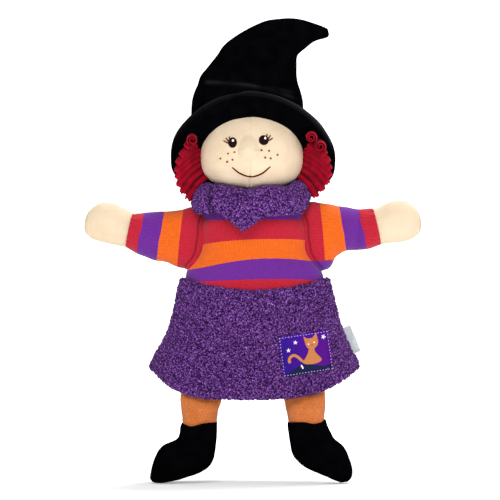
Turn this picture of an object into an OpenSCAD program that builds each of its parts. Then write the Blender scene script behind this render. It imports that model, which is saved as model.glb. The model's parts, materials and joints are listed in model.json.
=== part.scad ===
// Glove puppet of a little witch: a hollow cloth body for the hand, a stuffed head with a finger
// tube, sleeves that take two fingers, stuffed hands, legs and shoes, and a soft pointed hat.
// Millimetres. +Z up, the face looks along -Y, and the origin lies on the finger tube's axis at
// the level of the skirt's lowest edge, in the middle of the hand opening.

/* [Body] */
// Width of the shirt across the chest
chest_w = 87; // [76:1:104]
// Depth of the shirt, front to back
chest_d = 50; // [44:1:60]
// Height of the shirt from the waist to the neck
shirt_h = 62; // [56:1:72]
// Thickness of the shirt's jersey with its seam allowance
jersey_t = 1.2; // [0.8:0.1:2]

/* [Skirt] */
// Width of the skirt at its lower corners
skirt_w = 166; // [150:1:200]
// Height of the skirt from its lowest edge to the waist
skirt_h = 96; // [84:1:116]
// How far the skirt's side corners rise above its lowest edge
hem_rise = 26; // [12:1:32]
// Thickness of the plush with its pile
plush_t = 2.2; // [1.5:0.1:3]
// Width of the sewn-on picture patch
patch_w = 38; // [30:1:44]
// Height of the sewn-on picture patch
patch_h = 29; // [22:1:34]
// Length of the blank tape label along the side seam
label_len = 22; // [14:1:28]
// How far the tape label stands out of the seam
label_out = 6; // [4:0.5:9]

/* [Head] */
// Width of the head
head_w = 83; // [74:1:100]
// Depth of the head, front to back
head_d = 76; // [68:1:92]
// Height of the head
head_h = 70; // [62:1:84]
// Thickness of the head's cotton jersey
skin_t = 1.5; // [1:0.1:2]
// Inner radius of the finger tube
tube_r = 10; // [8.5:0.1:12]
// Wall of the finger tube
tube_wall = 1.2; // [0.8:0.1:1.6]
// Depth of the finger tube's hole
tube_len = 58; // [48:1:64]

/* [Hat] */
// Height of the hat above the head's centre
hat_h = 104; // [90:1:126]
// Width of the brim across its widest place
brim_w = 132; // [120:1:156]
// Thickness of the brim, two layers of velour
brim_t = 2.4; // [1.6:0.1:3.2]

/* [Arms] */
// Length of a sleeve from the shoulder pivot to the wrist pivot
sleeve_len = 58; // [50:1:70]
// Height of a sleeve's finger pocket, outside
sleeve_h = 31; // [26:1:34]
// Length of a hand from the wrist to its tip
hand_len = 37; // [30:1:46]
// Height of a hand
hand_h = 31; // [26:1:38]
// Thickness of a stuffed hand
hand_t = 20; // [16:1:24]

/* [Legs] */
// Distance between the middles of the two legs
leg_gap = 83; // [78:1:92]
// Length of a leg from the hip seam to the ankle seam
leg_len = 17.6; // [16:0.2:24]
// Width of a leg
leg_w = 32; // [26:1:36]
// Height of a shoe from the ankle seam to the toe's lowest point
shoe_h = 47; // [40:1:56]
// Thickness of a stuffed shoe
shoe_t = 26; // [22:1:30]

/* [Hidden] */

skin_col = [0.93, 0.84, 0.69];
shirt_col = [0.78, 0.15, 0.24];
plush_col = [0.36, 0.22, 0.50];
velour_col = [0.05, 0.05, 0.06];
hair_col = [0.72, 0.03, 0.14];
legs_col = [0.90, 0.49, 0.22];
fill_col = [0.95, 0.95, 0.93];
thread_col = [0.20, 0.10, 0.10];

gap = 0.3;          // free play between one soft piece and the next
seam = 0.15;        // half of the gap that a seam leaves between two panels
around = 24;        // columns round a closed soft shape
fill_gap = 0.4;     // stuffing stands this far inside its cover

// ---------- levels and places that several pieces share ----------
waist_z = skirt_h;
neck_z = waist_z + shirt_h;
head_z = neck_z + 7 + head_h / 2;
chest_a = chest_w / 2;
chest_b = chest_d / 2;
tube_out = tube_r + tube_wall;
tube_z = neck_z - 4;
shoulder_x = chest_a - 3.5;
shoulder_z = waist_z + shirt_h * 0.54;
arm_slope = 7.4;
hip_y = -chest_b * 0.8;
head_a = head_w / 2;
head_b = head_d / 2;
head_c = head_h / 2;

// ---------- rings, grids and the solids that they close ----------
// A point of a rounded oval: angle 0 looks to the front, 90 to +X; power 2 is an ellipse.
function signed_pow(v, p) = sign(v) * pow(abs(v), p);
function oval(a, b, u, power = 2) =
  [a * signed_pow(sin(u), 2 / power), -b * signed_pow(cos(u), 2 / power)];
function ring(a, b, z, n = around, x = 0, y = 0, power = 2) =
  [for (i = [0:n - 1]) let (p = oval(a, b, 360 * i / n, power)) [x + p[0], y + p[1], z]];
function arc_row(a, b, z, u0, u1, n) =
  [for (i = [0:n]) let (p = oval(a, b, u0 + (u1 - u0) * i / n)) [p[0], p[1], z]];
// The profile of stations [z, a, b] moved inwards by t, square to its own slope.
function inset(st, t) = [
  for (i = [0:len(st) - 1])
    let (
      p = st[max(i - 1, 0)],
      q = st[min(i + 1, len(st) - 1)],
      dz = q[0] - p[0],
      da = q[1] - p[1],
      l = sqrt(dz * dz + da * da)
    )
    [st[i][0] + t * da / l, st[i][1] - t * dz / l, st[i][2] - t * dz / l]
];
function at(table, s) = lookup(s, table);
function quad(a, b, c, d) = [[a, b, c], [a, c, d]];
function flat(rows) = [for (r = rows) each r];
function side_faces(rows, cols, o, wrap, out) = [
  for (i = [0:rows - 2], j = [0:(wrap ? cols - 1 : cols - 2)])
    let (
      k = (j + 1) % cols,
      a = o + i * cols + j,
      b = o + (i + 1) * cols + j,
      c = o + (i + 1) * cols + k,
      d = o + i * cols + k
    )
    each (out ? quad(a, b, c, d) : quad(a, d, c, b))
];

// A closed solid through a stack of rings, with flat ends.
module loft(rows) {
  n = len(rows[0]);
  last = (len(rows) - 1) * n;
  polyhedron(flat(rows), concat(
    side_faces(len(rows), n, 0, true, true),
    [[for (j = [0:n - 1]) j], [for (j = [n - 1:-1:0]) last + j]]
  ));
}

// A tube with a wall: the outer rings, the inner rings and a flat rim at each end.
module tube(outer, inner) {
  n = len(outer[0]);
  r = len(outer);
  m = r * n;
  polyhedron(concat(flat(outer), flat(inner)), concat(
    side_faces(r, n, 0, true, true),
    side_faces(r, n, m, true, false),
    [for (j = [0:n - 1]) let (k = (j + 1) % n) each quad(j, k, m + k, m + j)],
    [for (j = [0:n - 1]) let (k = (j + 1) % n, t = m - n)
      each quad(t + k, t + j, m + t + j, m + t + k)]
  ));
}

// A cup: open at its first ring and closed at its last one.
module cup(outer, inner) {
  n = len(outer[0]);
  r = len(outer);
  ri = len(inner);
  m = r * n;
  polyhedron(concat(flat(outer), flat(inner)), concat(
    side_faces(r, n, 0, true, true),
    side_faces(ri, n, m, true, false),
    [for (j = [0:n - 1]) let (k = (j + 1) % n) each quad(j, k, m + k, m + j)],
    [[for (j = [n - 1:-1:0]) m - n + j], [for (j = [0:n - 1]) m + (ri - 1) * n + j]]
  ));
}

// A sheet with thickness: two open grids of points joined along all four edges.
module panel(outer, inner) {
  c = len(outer[0]);
  r = len(outer);
  m = r * c;
  t = m - c;
  polyhedron(concat(flat(outer), flat(inner)), concat(
    side_faces(r, c, 0, false, true),
    side_faces(r, c, m, false, false),
    [for (j = [0:c - 2]) each quad(j, j + 1, m + j + 1, m + j)],
    [for (j = [0:c - 2]) each quad(t + j + 1, t + j, m + t + j, m + t + j + 1)],
    [for (i = [0:r - 2]) let (p = i * c, q = p + c) each quad(q, p, m + p, m + q)],
    [for (i = [0:r - 2]) let (p = i * c + c - 1, q = p + c) each quad(p, q, m + q, m + p)]
  ));
}

// Half of a sewn and stuffed flat shape: its outline swells towards -Y (side -1) or +Y (side 1).
swell = [6, 22, 38, 54, 68, 80];
function swollen(outline, mid, half, side, f, edge) = [
  for (p = outline) let (s = pow(cos(f), 0.6)) [
    mid[0] + (p[0] - mid[0]) * s,
    side * (edge + half * sin(f)),
    mid[1] + (p[1] - mid[1]) * s
  ]
];
function toward(outline, mid, t) = [
  for (p = outline) let (d = p - mid, l = norm(d)) mid + d * (l - t) / l
];
function turned(outline) = [for (i = [len(outline) - 1:-1:0]) outline[i]];
module pillow_half(around_it, mid, half, side, t) {
  outline = side < 0 ? around_it : turned(around_it);
  inner = toward(outline, mid, t);
  rows_out = concat([swollen(outline, mid, half, side, 0, seam)],
    [for (f = swell) swollen(outline, mid, half, side, f, seam)]);
  rows_in = concat([swollen(inner, mid, half - t, side, 0, seam)],
    [for (f = swell) swollen(inner, mid, half - t, side, f, seam)]);
  cup(rows_out, rows_in);
}
module pillow(outline, mid, half) {
  steps = concat([for (i = [len(swell) - 1:-1:0]) -swell[i]], swell);
  loft([for (f = steps)
    [for (p = swollen(turned(outline), mid, half, 1, abs(f), 0)) [p[0], sign(f) * p[1], p[2]]]]);
}

// ---------- shirt ----------
shirt_st = [
  [waist_z - 3, chest_a + 11.5, chest_b + 2],
  [waist_z + shirt_h * 0.08, chest_a + 9, chest_b + 1.4],
  [waist_z + shirt_h * 0.15, chest_a + 7.3, chest_b + 1],
  [waist_z + shirt_h * 0.22, chest_a + 5.6, chest_b + 0.7],
  [waist_z + shirt_h * 0.33, chest_a + 3.2, chest_b + 0.3],
  [waist_z + shirt_h * 0.45, chest_a + 1.2, chest_b],
  [waist_z + shirt_h * 0.56, chest_a, chest_b - 0.3],
  [waist_z + shirt_h * 0.70, chest_a - 1.2, chest_b - 0.8],
  [waist_z + shirt_h * 0.82, chest_a - 3, chest_b - 1.8],
  [waist_z + shirt_h * 0.90, chest_a - 7, chest_b - 4],
  [waist_z + shirt_h * 0.965, chest_a - 16, chest_b - 7],
  [waist_z + shirt_h, tube_out + 5.5, tube_out + 4.5]
];
armhole_z = shoulder_z - 1;
armhole_half = shirt_h * 0.385;
armhole_depth = chest_b * 0.6;
// Half the armhole's depth at a height, or the plain side seam's gap above and below it.
function armhole_y(z) =
  let (k = (z - armhole_z) / armhole_half)
  max(seam, abs(k) < 1 ? armhole_depth * sqrt(1 - k * k) : 0);
module shirt_panel(back) {
  cols = 12;
  inner = inset(shirt_st, jersey_t);
  rows = [for (st = [shirt_st, inner]) [for (i = [0:len(st) - 1])
    let (u = acos(min(1, armhole_y(shirt_st[i][0]) / st[i][2])))
    arc_row(st[i][1], st[i][2], st[i][0], back - u, back + u, cols)]];
  panel(rows[0], rows[1]);
}
module shirt_front() color(shirt_col) shirt_panel(0);
module shirt_back() color(shirt_col) shirt_panel(180);

// ---------- collar: two plush halves that overlap left of the middle ----------
collar_top = [
  [neck_z - 8.5, chest_a - 1.5, chest_b + 9.5],
  [neck_z - 2, chest_a - 4.5, chest_b + 6],
  [neck_z + 2, chest_a - 12, chest_b],
  [neck_z + 2.6, tube_out + 9, tube_out + 6.5]
];
collar_low = [
  [neck_z - 9, chest_a - 2.7, chest_b + 2.6],
  [neck_z - 4.3, chest_a - 6.4, chest_b + 0.8],
  [neck_z - 0.4, chest_a - 14, chest_b - 4],
  [neck_z + 0.7, tube_out + 8.6, tube_out + 6.2]
];
collar_seam_u = -22;
point_u = -7;       // where the collar's front point hangs
point_drop = 13;
function collar_row(st, i, u0, u1, n) = [
  for (j = [0:n])
    let (
      u = u0 + (u1 - u0) * j / n,
      off = (u - point_u) / 15,
      drop = i == 0 && off > -1.2 ? point_drop * exp(-off * off) : 0,
      p = oval(st[i][1], st[i][2], u)
    )
    [p[0], p[1], st[i][0] - drop]
];
module collar_panel(u0, u1, n) {
  rows = [for (st = [collar_top, collar_low])
    [for (i = [0:3]) collar_row(st, i, u0, u1, n)]];
  panel(rows[0], rows[1]);
}
module collar_under() color(plush_col) collar_panel(-179.5, collar_seam_u - 4, 11);
module collar_over() color(plush_col) collar_panel(collar_seam_u, 179.5, 16);

// ---------- waist, inner sleeve for the hand, hip tapes ----------
waist_in = [shirt_st[0][1] - jersey_t - gap - 0.2, shirt_st[0][2] - jersey_t - gap - 0.2];
tape_t = 1;
module waist_tape() color("dimgray") {
  o = [for (z = [waist_z - 3, waist_z + 2]) ring(waist_in[0] - (z - waist_z + 3) * 0.35,
    waist_in[1], z)];
  i = [for (z = [waist_z - 3, waist_z + 2]) ring(waist_in[0] - (z - waist_z + 3) * 0.35 - tape_t,
    waist_in[1] - tape_t, z)];
  tube(o, i);
}
glove_z0 = 12;
glove_st = [
  [glove_z0, waist_in[0] + 4.5, waist_in[1] + 1.8],
  [skirt_h * 0.5, waist_in[0] + 1.5, waist_in[1] + 0.8],
  [waist_z - 5, waist_in[0] - 2, waist_in[1] - 1]
];
module glove_sleeve() color("beige") {
  tube([for (s = glove_st) ring(s[1], s[2], s[0])],
    [for (s = glove_st) ring(s[1] - tape_t, s[2] - tape_t, s[0])]);
}
hip_tape_z = [2.5, glove_z0 - gap];
module hip_tapes() color("beige")
  for (side = [-1, 1]) translate([side * leg_gap / 2 - leg_w * 0.3, hip_y - 0.6, hip_tape_z[0]])
    cube([leg_w * 0.6, 1.2, hip_tape_z[1] - hip_tape_z[0]]);

// ---------- skirt ----------
skirt_shift = 2;    // the skirt hangs a little towards +X
skirt_a = skirt_w / 2;
skirt_top_a = shirt_st[0][1] + plush_t + gap;
skirt_top_b = shirt_st[0][2] + plush_t + gap;
skirt_b = skirt_top_b + 12;
skirt_wide = [[0, skirt_top_a], [0.25, skirt_top_a + (skirt_a - skirt_top_a) * 0.24],
  [0.5, skirt_top_a + (skirt_a - skirt_top_a) * 0.43],
  [0.75, skirt_top_a + (skirt_a - skirt_top_a) * 0.68], [1, skirt_a]];
function skirt_deep(v) = skirt_top_b + (skirt_b - skirt_top_b) * v;
function hem_z(u) = hem_rise * pow(abs(sin(u)), 4.5);
// A point of the skirt, in by t: u goes round from the front, v from the waist to the hem.
function skirt_point(u, v, t) =
  let (p = oval(at(skirt_wide, v) - t, skirt_deep(v) - t, u), z = waist_z + 1)
  [p[0] + skirt_shift * v, p[1], z + (hem_z(u) - z) * v];
module skirt_panel(mid) {
  cols = 14;
  rows = 6;
  edge = 90 - seam / skirt_b * 57.3;
  // The rows run upwards, so that the faces look outwards.
  grid = [for (t = [0, plush_t]) [for (i = [rows:-1:0])
    [for (j = [0:cols]) skirt_point(mid - edge + 2 * edge * j / cols, i / rows, t)]]];
  panel(grid[0], grid[1]);
}
module skirt_front() color(plush_col) skirt_panel(0);
module skirt_back() color(plush_col) skirt_panel(180);

// ---------- picture patch, its stitches and the tape label ----------
patch_x = 41;
patch_z = 37;
patch_turn = 8;
patch_t = 0.8;
// The skirt's front surface over a place (x, z) of the front view.
function skirt_y(x, z) =
  let (
    u = asin(max(-1, min(1, (x - skirt_shift) / at(skirt_wide, 0.6)))),
    v = max(0, min(1, (waist_z + 1 - z) / (waist_z + 1 - hem_z(u)))),
    k = (x - skirt_shift * v) / at(skirt_wide, v)
  )
  -skirt_deep(v) * sqrt(1 - k * k);
function patch_point(i, j, t) =
  let (
    c = cos(patch_turn),
    s = sin(patch_turn),
    x = patch_x + i * patch_w / 2 * c - j * patch_h / 2 * s,
    z = patch_z + i * patch_w / 2 * s + j * patch_h / 2 * c
  )
  [x, skirt_y(x, z) - t, z];
patch_in = 0.7;     // the patch's back stands this far in front of the plush's surface
module patch() color([0.30, 0.05, 0.60]) {
  panel([for (j = [-1:0.5:1]) [for (i = [-1:0.25:1]) patch_point(i, j, patch_in + patch_t)]],
    [for (j = [-1:0.5:1]) [for (i = [-1:0.25:1]) patch_point(i, j, patch_in)]]);
}
stitches_w = 9;
stitches_h = 7;
stitch = [2.2, 0.6, 0.7];
module stitch_at(i, j, up) translate(patch_point(i, j, patch_in + patch_t + 0.35))
  rotate([0, -patch_turn + (up ? 90 : 0), 0]) cube(stitch, center = true);
module patch_stitching() color("lavender") {
  for (k = [0:stitches_w - 1], j = [-0.93, 0.93])
    stitch_at(-0.88 + 1.76 * k / (stitches_w - 1), j, false);
  for (k = [0:stitches_h - 1], i = [-0.95, 0.95])
    stitch_at(i, -0.76 + 1.52 * k / (stitches_h - 1), true);
}
label_v = 0.56;     // the label's upper end along the side seam
label_t = 0.8;
side_seam = norm([skirt_a - skirt_top_a, waist_z + 1 - hem_rise]);
label_top = skirt_point(90, label_v, 0);
label_low = skirt_point(90, label_v + label_len / side_seam, 0);
label_tilt = atan2(label_low[0] - label_top[0], label_top[2] - label_low[2]);
module label() color("white") translate([(label_top[0] + label_low[0]) / 2, 0,
    (label_top[2] + label_low[2]) / 2]) rotate([0, -label_tilt, 0])
    translate([1, -label_t / 2, -label_len / 2]) cube([label_out, label_t, label_len]);

// ---------- neck and finger tube ----------
band_r = tube_out + 0.4;
band_wall = 1.4;
module neck_band() color(skin_col) translate([0, 0, neck_z - 1]) difference() {
  cylinder(r = band_r + band_wall, h = 6.6, $fn = 64);
  translate([0, 0, -1]) cylinder(r = band_r, h = 8.6, $fn = 64);
}
module neck_tie() color(thread_col) translate([0, 0, neck_z + 2])
  rotate_extrude($fn = 64) translate([band_r + band_wall + 0.6, 0]) circle(r = 0.5, $fn = 24);
tube_end = 1.5;
module finger_tube() color("tan") translate([0, 0, tube_z]) difference() {
  cylinder(r = tube_out, h = tube_len + tube_end, $fn = 64);
  translate([0, 0, -1]) cylinder(r = tube_r, h = tube_len + 1, $fn = 64);
}

// ---------- head ----------
head_free = 1.3;    // free play round the finger tube where the head's cover opens
// The head's rows by their angle above its middle, from the opening round the tube upwards.
head_rows = [-acos((tube_out + head_free) / (head_b - skin_t)),
  -56, -42, -28, -14, 0, 14, 28, 42, 56, 70, 84];
function head_row(f, t, u0, u1, n) = [
  for (j = [0:n])
    let (p = oval((head_a - t) * cos(f), (head_b - t) * cos(f), u0 + (u1 - u0) * j / n))
    [p[0], p[1], head_z + (head_c - t) * sin(f)]
];
face_seam_u = -4.5;
ear_u = 96;         // the back panel begins just behind the ears
seam_u = 0.25;
module head_panel(u0, u1, n) panel([for (f = head_rows) head_row(f, 0, u0 + seam_u, u1 - seam_u, n)],
  [for (f = head_rows) head_row(f, skin_t, u0 + seam_u, u1 - seam_u, n)]);
module face_left() color(skin_col) head_panel(-ear_u, face_seam_u, 8);
module face_right() color(skin_col) head_panel(face_seam_u, ear_u, 8);
module head_back() color(velour_col) head_panel(ear_u, 360 - ear_u, 12);
module head_stuffing() color(fill_col) difference() {
  t = skin_t + fill_gap;
  loft([for (f = head_rows)
    ring((head_a - t) * cos(f), (head_b - t) * cos(f), head_z + (head_c - t) * sin(f))]);
  translate([0, 0, head_z - head_c]) cylinder(r = tube_out + 0.2,
    h = tube_z + tube_len + tube_end + 0.3 - head_z + head_c, $fn = 64);
}

// ---------- face: nose, eyes, freckles, mouth ----------
face_x = -2.9;      // the face is turned a little to one side
function face_y(x, z) = -head_b * sqrt(max(0, 1 - pow(x / head_a, 2) - pow((z - head_z) / head_c, 2)));
// Puts its children on the face at (x, z), with +Z square to the surface.
module on_face(x, z, out = 0) {
  y = face_y(x, z);
  n = [x / pow(head_a, 2), y / pow(head_b, 2), (z - head_z) / pow(head_c, 2)];
  d = n / norm(n);
  translate([x, y, z] + d * out) rotate([0, acos(d[2]), atan2(d[1], d[0])]) children();
}
nose_z = head_z - 1;
nose = [8.2, 6.8, 9];       // half width, how far it stands out, half height
nose_root = 0.7;            // how deep its edge is sewn into the face
// A dome on the face: each row is [share of the outline, share of the height].
nose_rows = concat([[0.12, 0], [0.6, 0], [1, 0]],
  [for (f = [20, 40, 58, 72, 84]) [cos(f), sin(f)]]);
module nose() color(skin_col) loft([for (r = nose_rows) [for (i = [15:-1:0])
  let (x = face_x + nose[0] * r[0] * cos(22.5 * i), z = nose_z + nose[2] * r[0] * sin(22.5 * i))
  [x, face_y(x, z) + nose_root - (nose[1] + nose_root) * r[1], z]]]);
eye_r = 3.3;
eye_x = 12.2;
eye_z = head_z + 5.6;
embroidery = 1;     // how deep and proud the thread lies, together
lash = [4.2, 0.45];
lash_turns = [2, 22, 44];
module eye(side) color(thread_col) {
  on_face(face_x + side * eye_x, eye_z, -0.4) cylinder(r = eye_r, h = embroidery, $fn = 32);
  for (a = lash_turns)
    let (x = face_x + side * (eye_x + (eye_r + lash[0] / 2 - 0.6) * cos(a)),
      z = eye_z + (eye_r + lash[0] / 2 - 0.6) * sin(a))
      translate([x, face_y(x, z), z]) rotate([0, -side * a, 0])
        cube([lash[0], embroidery, 2 * lash[1]], center = true);
}
module eye_left() eye(-1);
module eye_right() eye(1);
freckle_r = 0.8;
freckle_left = [[-10.5, -2.2], [-15.3, -3.4], [-21.6, -7.2], [-12, -8.4], [-16.3, -10]];
module freckles() color("saddlebrown")
  for (side = [-1, 1], f = freckle_left)
    on_face(face_x - side * f[0], head_z + f[1] + 0.8 * side + 1, -0.4)
      cylinder(r = freckle_r, h = embroidery, $fn = 24);
mouth_half = 15.3;
mouth_z = head_z - 21.2;
mouth_up = 7.2;
mouth_r = 0.5;
mouth_steps = 16;
module mouth() color(thread_col) {
  rows = [for (i = [0:mouth_steps])
    let (
      k = -1 + 2 * i / mouth_steps,
      x = face_x + mouth_half * k,
      z = mouth_z + mouth_up * k * k
    )
    [for (j = [0:7]) [x, face_y(x, z) + mouth_r * cos(45 * j), z + mouth_r * sin(45 * j)]]];
  loft(rows);
}

// ---------- hair: looped strips that fan out beside each cheek ----------
strips = 8;
function hair_root(i) = let (a = 26 - 68 * i / (strips - 1))
  [head_a + 2.6 - 5.2 * pow(sin(a), 2), -17 - 3.5 * sin(a), head_z - 3 + 24 * sin(a)];
function hair_end(i) = let (a = 36 - 98 * i / (strips - 1))
  [head_a - 6 + 26 * cos(a * 0.9), -14 - 5 * sin(a), head_z - 11 + 25.5 * sin(a)];
hair_half = [1.5, 2.7];
hair_deep = [3.2, 5.4];
module hair(side) color(hair_col) for (i = [0:strips - 1]) {
  p = hair_root(i);
  q = hair_end(i);
  d = (q - p) / norm(q - p);
  up = [-d[2], 0, d[0]] / norm([-d[2], 0, d[0]]);
  rows = [for (k = [0:4])
    let (s = k / 4, w = hair_half[0] + (hair_half[1] - hair_half[0]) * s,
      e = hair_deep[0] + (hair_deep[1] - hair_deep[0]) * s, c = p + (q - p) * s,
      r = k == 4 ? 0.55 : (k == 0 ? 0.7 : 1))
    [for (j = [0:7]) let (m = c + up * w * r * sin(45 * j) + [0, e * r * cos(45 * j), 0])
      [side * m[0], m[1], m[2]]]];
  if (side > 0) loft([for (k = [4:-1:0]) rows[k]]);
  else loft(rows);
}
module hair_left() hair(-1);
module hair_right() hair(1);

// ---------- hat: crown on the head, turned-up brim, and a tip that bends over ----------
// A ring of the hat: centre, half width, half depth, its lean towards +X and its dip to the back.
function hat_ring(c, a, b, lean, dip, power = 2, n = around) = [
  for (i = [0:n - 1])
    let (p = oval(a, b, 360 * i / n, power))
    c + [p[0] * cos(lean) , p[1] * cos(dip), -p[0] * sin(lean) - p[1] * sin(dip)]
];
hat_k = hat_h / 104;
hood_a = head_a + 4.8;
hat_crown_rings = [
  [[0, 7, 2], hood_a, head_b + 5, 0, 39],
  [[-1, 6.5, 14], hood_a + 0.8, head_b + 2.6, 0, 29],
  [[-2.6, 5, 28], hood_a + 0.4, head_b - 1, 0, 17],
  [[-3.6, 3.5, 41], hood_a - 2.6, head_b - 2.5, 1, 6],
  [[-2.4, 2.5, 57], hood_a - 6.4, head_b - 5.5, 5, 0],
  [[2, 1.5, 68.6], hood_a - 12.5, head_b - 11, 10, 0],
  [[8, 1, 78], hood_a - 18, head_b - 16, 15, 0],
  [[13.6, 0.5, 83.4], hood_a - 23, head_b - 19, 20, 0],
  [[17.6, 0.5, 86], hood_a - 33.4, head_b - 27, 24, 0]
];
hat_tip_rings = [
  [[23.4, 0, 89.2], 9, 7.5, 27, 0],
  [[27.4, 0, 91.6], 16, 12.8, 31, 0],
  [[38, 0, 95], 12.6, 9.6, 39, 0],
  [[48.6, 0, 94.8], 7.4, 5.6, 60, 0],
  [[56.2, 0, 93.4], 4.2, 3.4, 80, 0],
  [[59.4, 0, 93.1], 2.8, 2.4, 84, 0]
];
crown_end = len(hat_crown_rings) - 1;
tip_end = len(hat_tip_rings) - 1;
function hat_rows(st, t) = [for (r = st)
  hat_ring([r[0][0] * hat_k, r[0][1], head_z + r[0][2] * (r[0][2] > 40 ? hat_k : 1)],
    r[1] - t, r[2] - t, r[3], r[4])];
velour_t = 1.5;
module hat_crown() color(velour_col) cup(hat_rows(hat_crown_rings, 0), hat_rows(
  concat([for (i = [0:crown_end - 1]) hat_crown_rings[i]],
    [[hat_crown_rings[crown_end][0] - [0.6, 0, 1.6], hat_crown_rings[crown_end][1],
      hat_crown_rings[crown_end][2], 24, 0]]),
  velour_t));
module hat_stuffing() color(fill_col) loft(hat_rows(
  concat([for (i = [3:crown_end - 1]) hat_crown_rings[i]],
    [[hat_crown_rings[crown_end][0] - [1.2, 0, 3], 12, 10, 24, 0]]), velour_t + fill_gap + 0.4));
module hat_tip() color(velour_col) cup(hat_rows(hat_tip_rings, 0), hat_rows(
  concat([for (i = [0:tip_end - 1]) hat_tip_rings[i]],
    [[hat_tip_rings[tip_end][0] - [1.6, 0, 0], 3.4, 3, 84, 0]]), 1));
module hat_tip_stuffing() color(fill_col)
  loft(hat_rows([for (i = [0:tip_end - 1]) hat_tip_rings[i]], 1 + fill_gap + 0.3));
// The brim's outer edge stands up in front and droops at the sides and the back.
brim_front = 44;
brim_side = -9;
brim_back = -33;
brim_y = [-34, 6, 42];
function brim_edge() = [
  for (i = [0:31])
    let (
      u = 360 * i / 32,
      p = oval(brim_w / 2, 1, u, 2.5),
      f = -p[1],
      y = brim_y[1] + (f > 0 ? f * (brim_y[0] - brim_y[1]) : -f * (brim_y[2] - brim_y[1])),
      z = brim_side + (f > 0 ? f * (brim_front - brim_side) : -f * (brim_back - brim_side))
    )
    [p[0] + 1, y, head_z + z]
];
brim_root = hat_ring([0, 7, head_z + 1.6], hood_a, head_b + 5, 0, 39, 2, 32);
module hat_brim() color(velour_col) {
  under = [0, -0.64, -0.77] * brim_t;
  tube([brim_root, brim_edge()],
    [[for (p = brim_root) p + under], [for (p = brim_edge()) p + under]]);
}

// ---------- arms ----------
sleeve_st = [
  [5, sleeve_h * 0.32, sleeve_h * 0.30], [10, sleeve_h * 0.43, sleeve_h * 0.38],
  [sleeve_len * 0.34, sleeve_h * 0.5, sleeve_h * 0.42],
  [sleeve_len * 0.60, sleeve_h * 0.5, sleeve_h * 0.40],
  [sleeve_len * 0.82, sleeve_h * 0.45, sleeve_h * 0.35],
  [sleeve_len * 0.93, sleeve_h * 0.35, sleeve_h * 0.24],
  [sleeve_len - 1.3, sleeve_h * 0.2, sleeve_h * 0.11]
];
// Lays +Z along an arm: side 1 is the arm at +X, and side -1 its mirror image.
module along_arm(side) mirror([side < 0 ? 1 : 0, 0, 0]) translate([shoulder_x, 0, shoulder_z])
  rotate([0, 90 - arm_slope, 0]) children();
module sleeve(side) color(shirt_col) along_arm(side) {
  inner = inset(sleeve_st, jersey_t);
  cup([for (s = sleeve_st) ring(s[1], s[2], s[0], 20)],
    [for (i = [0:5]) ring(inner[i][1], inner[i][2], inner[i][0], 20)]);
}
module sleeve_left() sleeve(-1);
module sleeve_right() sleeve(1);
// A mitt's outline along the arm: a short wrist that swells into a round end.
hand_mid = [hand_len * 0.56, 0];
function hand_outline() = concat(
  [for (a = [-110:20:110]) [hand_len - hand_h / 2 + hand_h / 2 * cos(a), hand_h / 2 * sin(a)]],
  [[hand_len * 0.2, hand_h * 0.42], [1.6, hand_h * 0.33], [0.9, hand_h * 0.1],
    [0.9, -hand_h * 0.1], [1.6, -hand_h * 0.33], [hand_len * 0.2, -hand_h * 0.42]]);
module at_wrist(side) mirror([side < 0 ? 1 : 0, 0, 0]) translate([shoulder_x, 0, shoulder_z])
  rotate([0, -arm_slope, 0]) translate([sleeve_len, 0, 0]) children();
module hand(side) color(skin_col) at_wrist(side)
  for (y = [-1, 1]) pillow_half(hand_outline(), hand_mid, hand_t / 2, y, 1);
module hand_left() hand(-1);
module hand_right() hand(1);
module hand_stuffing(side) color(fill_col) at_wrist(side)
  pillow(toward(hand_outline(), hand_mid, 1 + fill_gap), hand_mid, hand_t / 2 - 1 - fill_gap);
module hand_stuffing_left() hand_stuffing(-1);
module hand_stuffing_right() hand_stuffing(1);

// ---------- legs ----------
leg_st = [
  [-leg_len + 0.6, leg_w * 0.2, 4.4], [-leg_len + 2, leg_w * 0.34, 8],
  [-leg_len + 4.4, leg_w * 0.42, 10.4], [-leg_len * 0.5, leg_w * 0.48, 10.6],
  [-leg_len * 0.25, leg_w * 0.5, 7.4], [-1.6, leg_w * 0.46, 2.8]
];
module at_hip(side) mirror([side < 0 ? 1 : 0, 0, 0]) translate([leg_gap / 2, hip_y, 0]) children();
module leg(side) color(legs_col) at_hip(side)
  tube([for (s = leg_st) ring(s[1], s[2], s[0], 20)],
    [for (s = leg_st) ring(s[1] - 1, s[2] - 1, s[0], 20)]);
module leg_left() leg(-1);
module leg_right() leg(1);
module leg_stuffing(side) color(fill_col) at_hip(side) {
  t = 1 + fill_gap;
  loft([for (s = leg_st) ring(s[1] - t, s[2] - t, s[0], 20)]);
}
module leg_stuffing_left() leg_stuffing(-1);
module leg_stuffing_right() leg_stuffing(1);

// A boot in profile, toe outwards and down, from the ankle seam; x outwards, z up.
shoe_mid = [11, -shoe_h * 0.5];
shoe_outline = [
  [-7, -1.2], [-12.4, -4.5], [-13.6, -shoe_h * 0.26], [-13.4, -shoe_h * 0.5],
  [-11, -shoe_h * 0.62], [-5, -shoe_h * 0.74], [6, -shoe_h * 0.86], [19, -shoe_h * 0.95],
  [31, -shoe_h], [36, -shoe_h * 0.985], [38.5, -shoe_h * 0.92], [37.6, -shoe_h * 0.75],
  [34.2, -shoe_h * 0.57], [29, -shoe_h * 0.42], [22.5, -shoe_h * 0.33], [16.2, -shoe_h * 0.25],
  [14, -shoe_h * 0.15], [12.6, -4.5], [7, -1.2]
];
module at_ankle(side) mirror([side < 0 ? 1 : 0, 0, 0])
  translate([leg_gap / 2, hip_y, -leg_len]) children();
module shoe(side) color(velour_col) at_ankle(side)
  for (y = [-1, 1]) pillow_half(shoe_outline, shoe_mid, shoe_t / 2, y, 1.2);
module shoe_left() shoe(-1);
module shoe_right() shoe(1);
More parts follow.
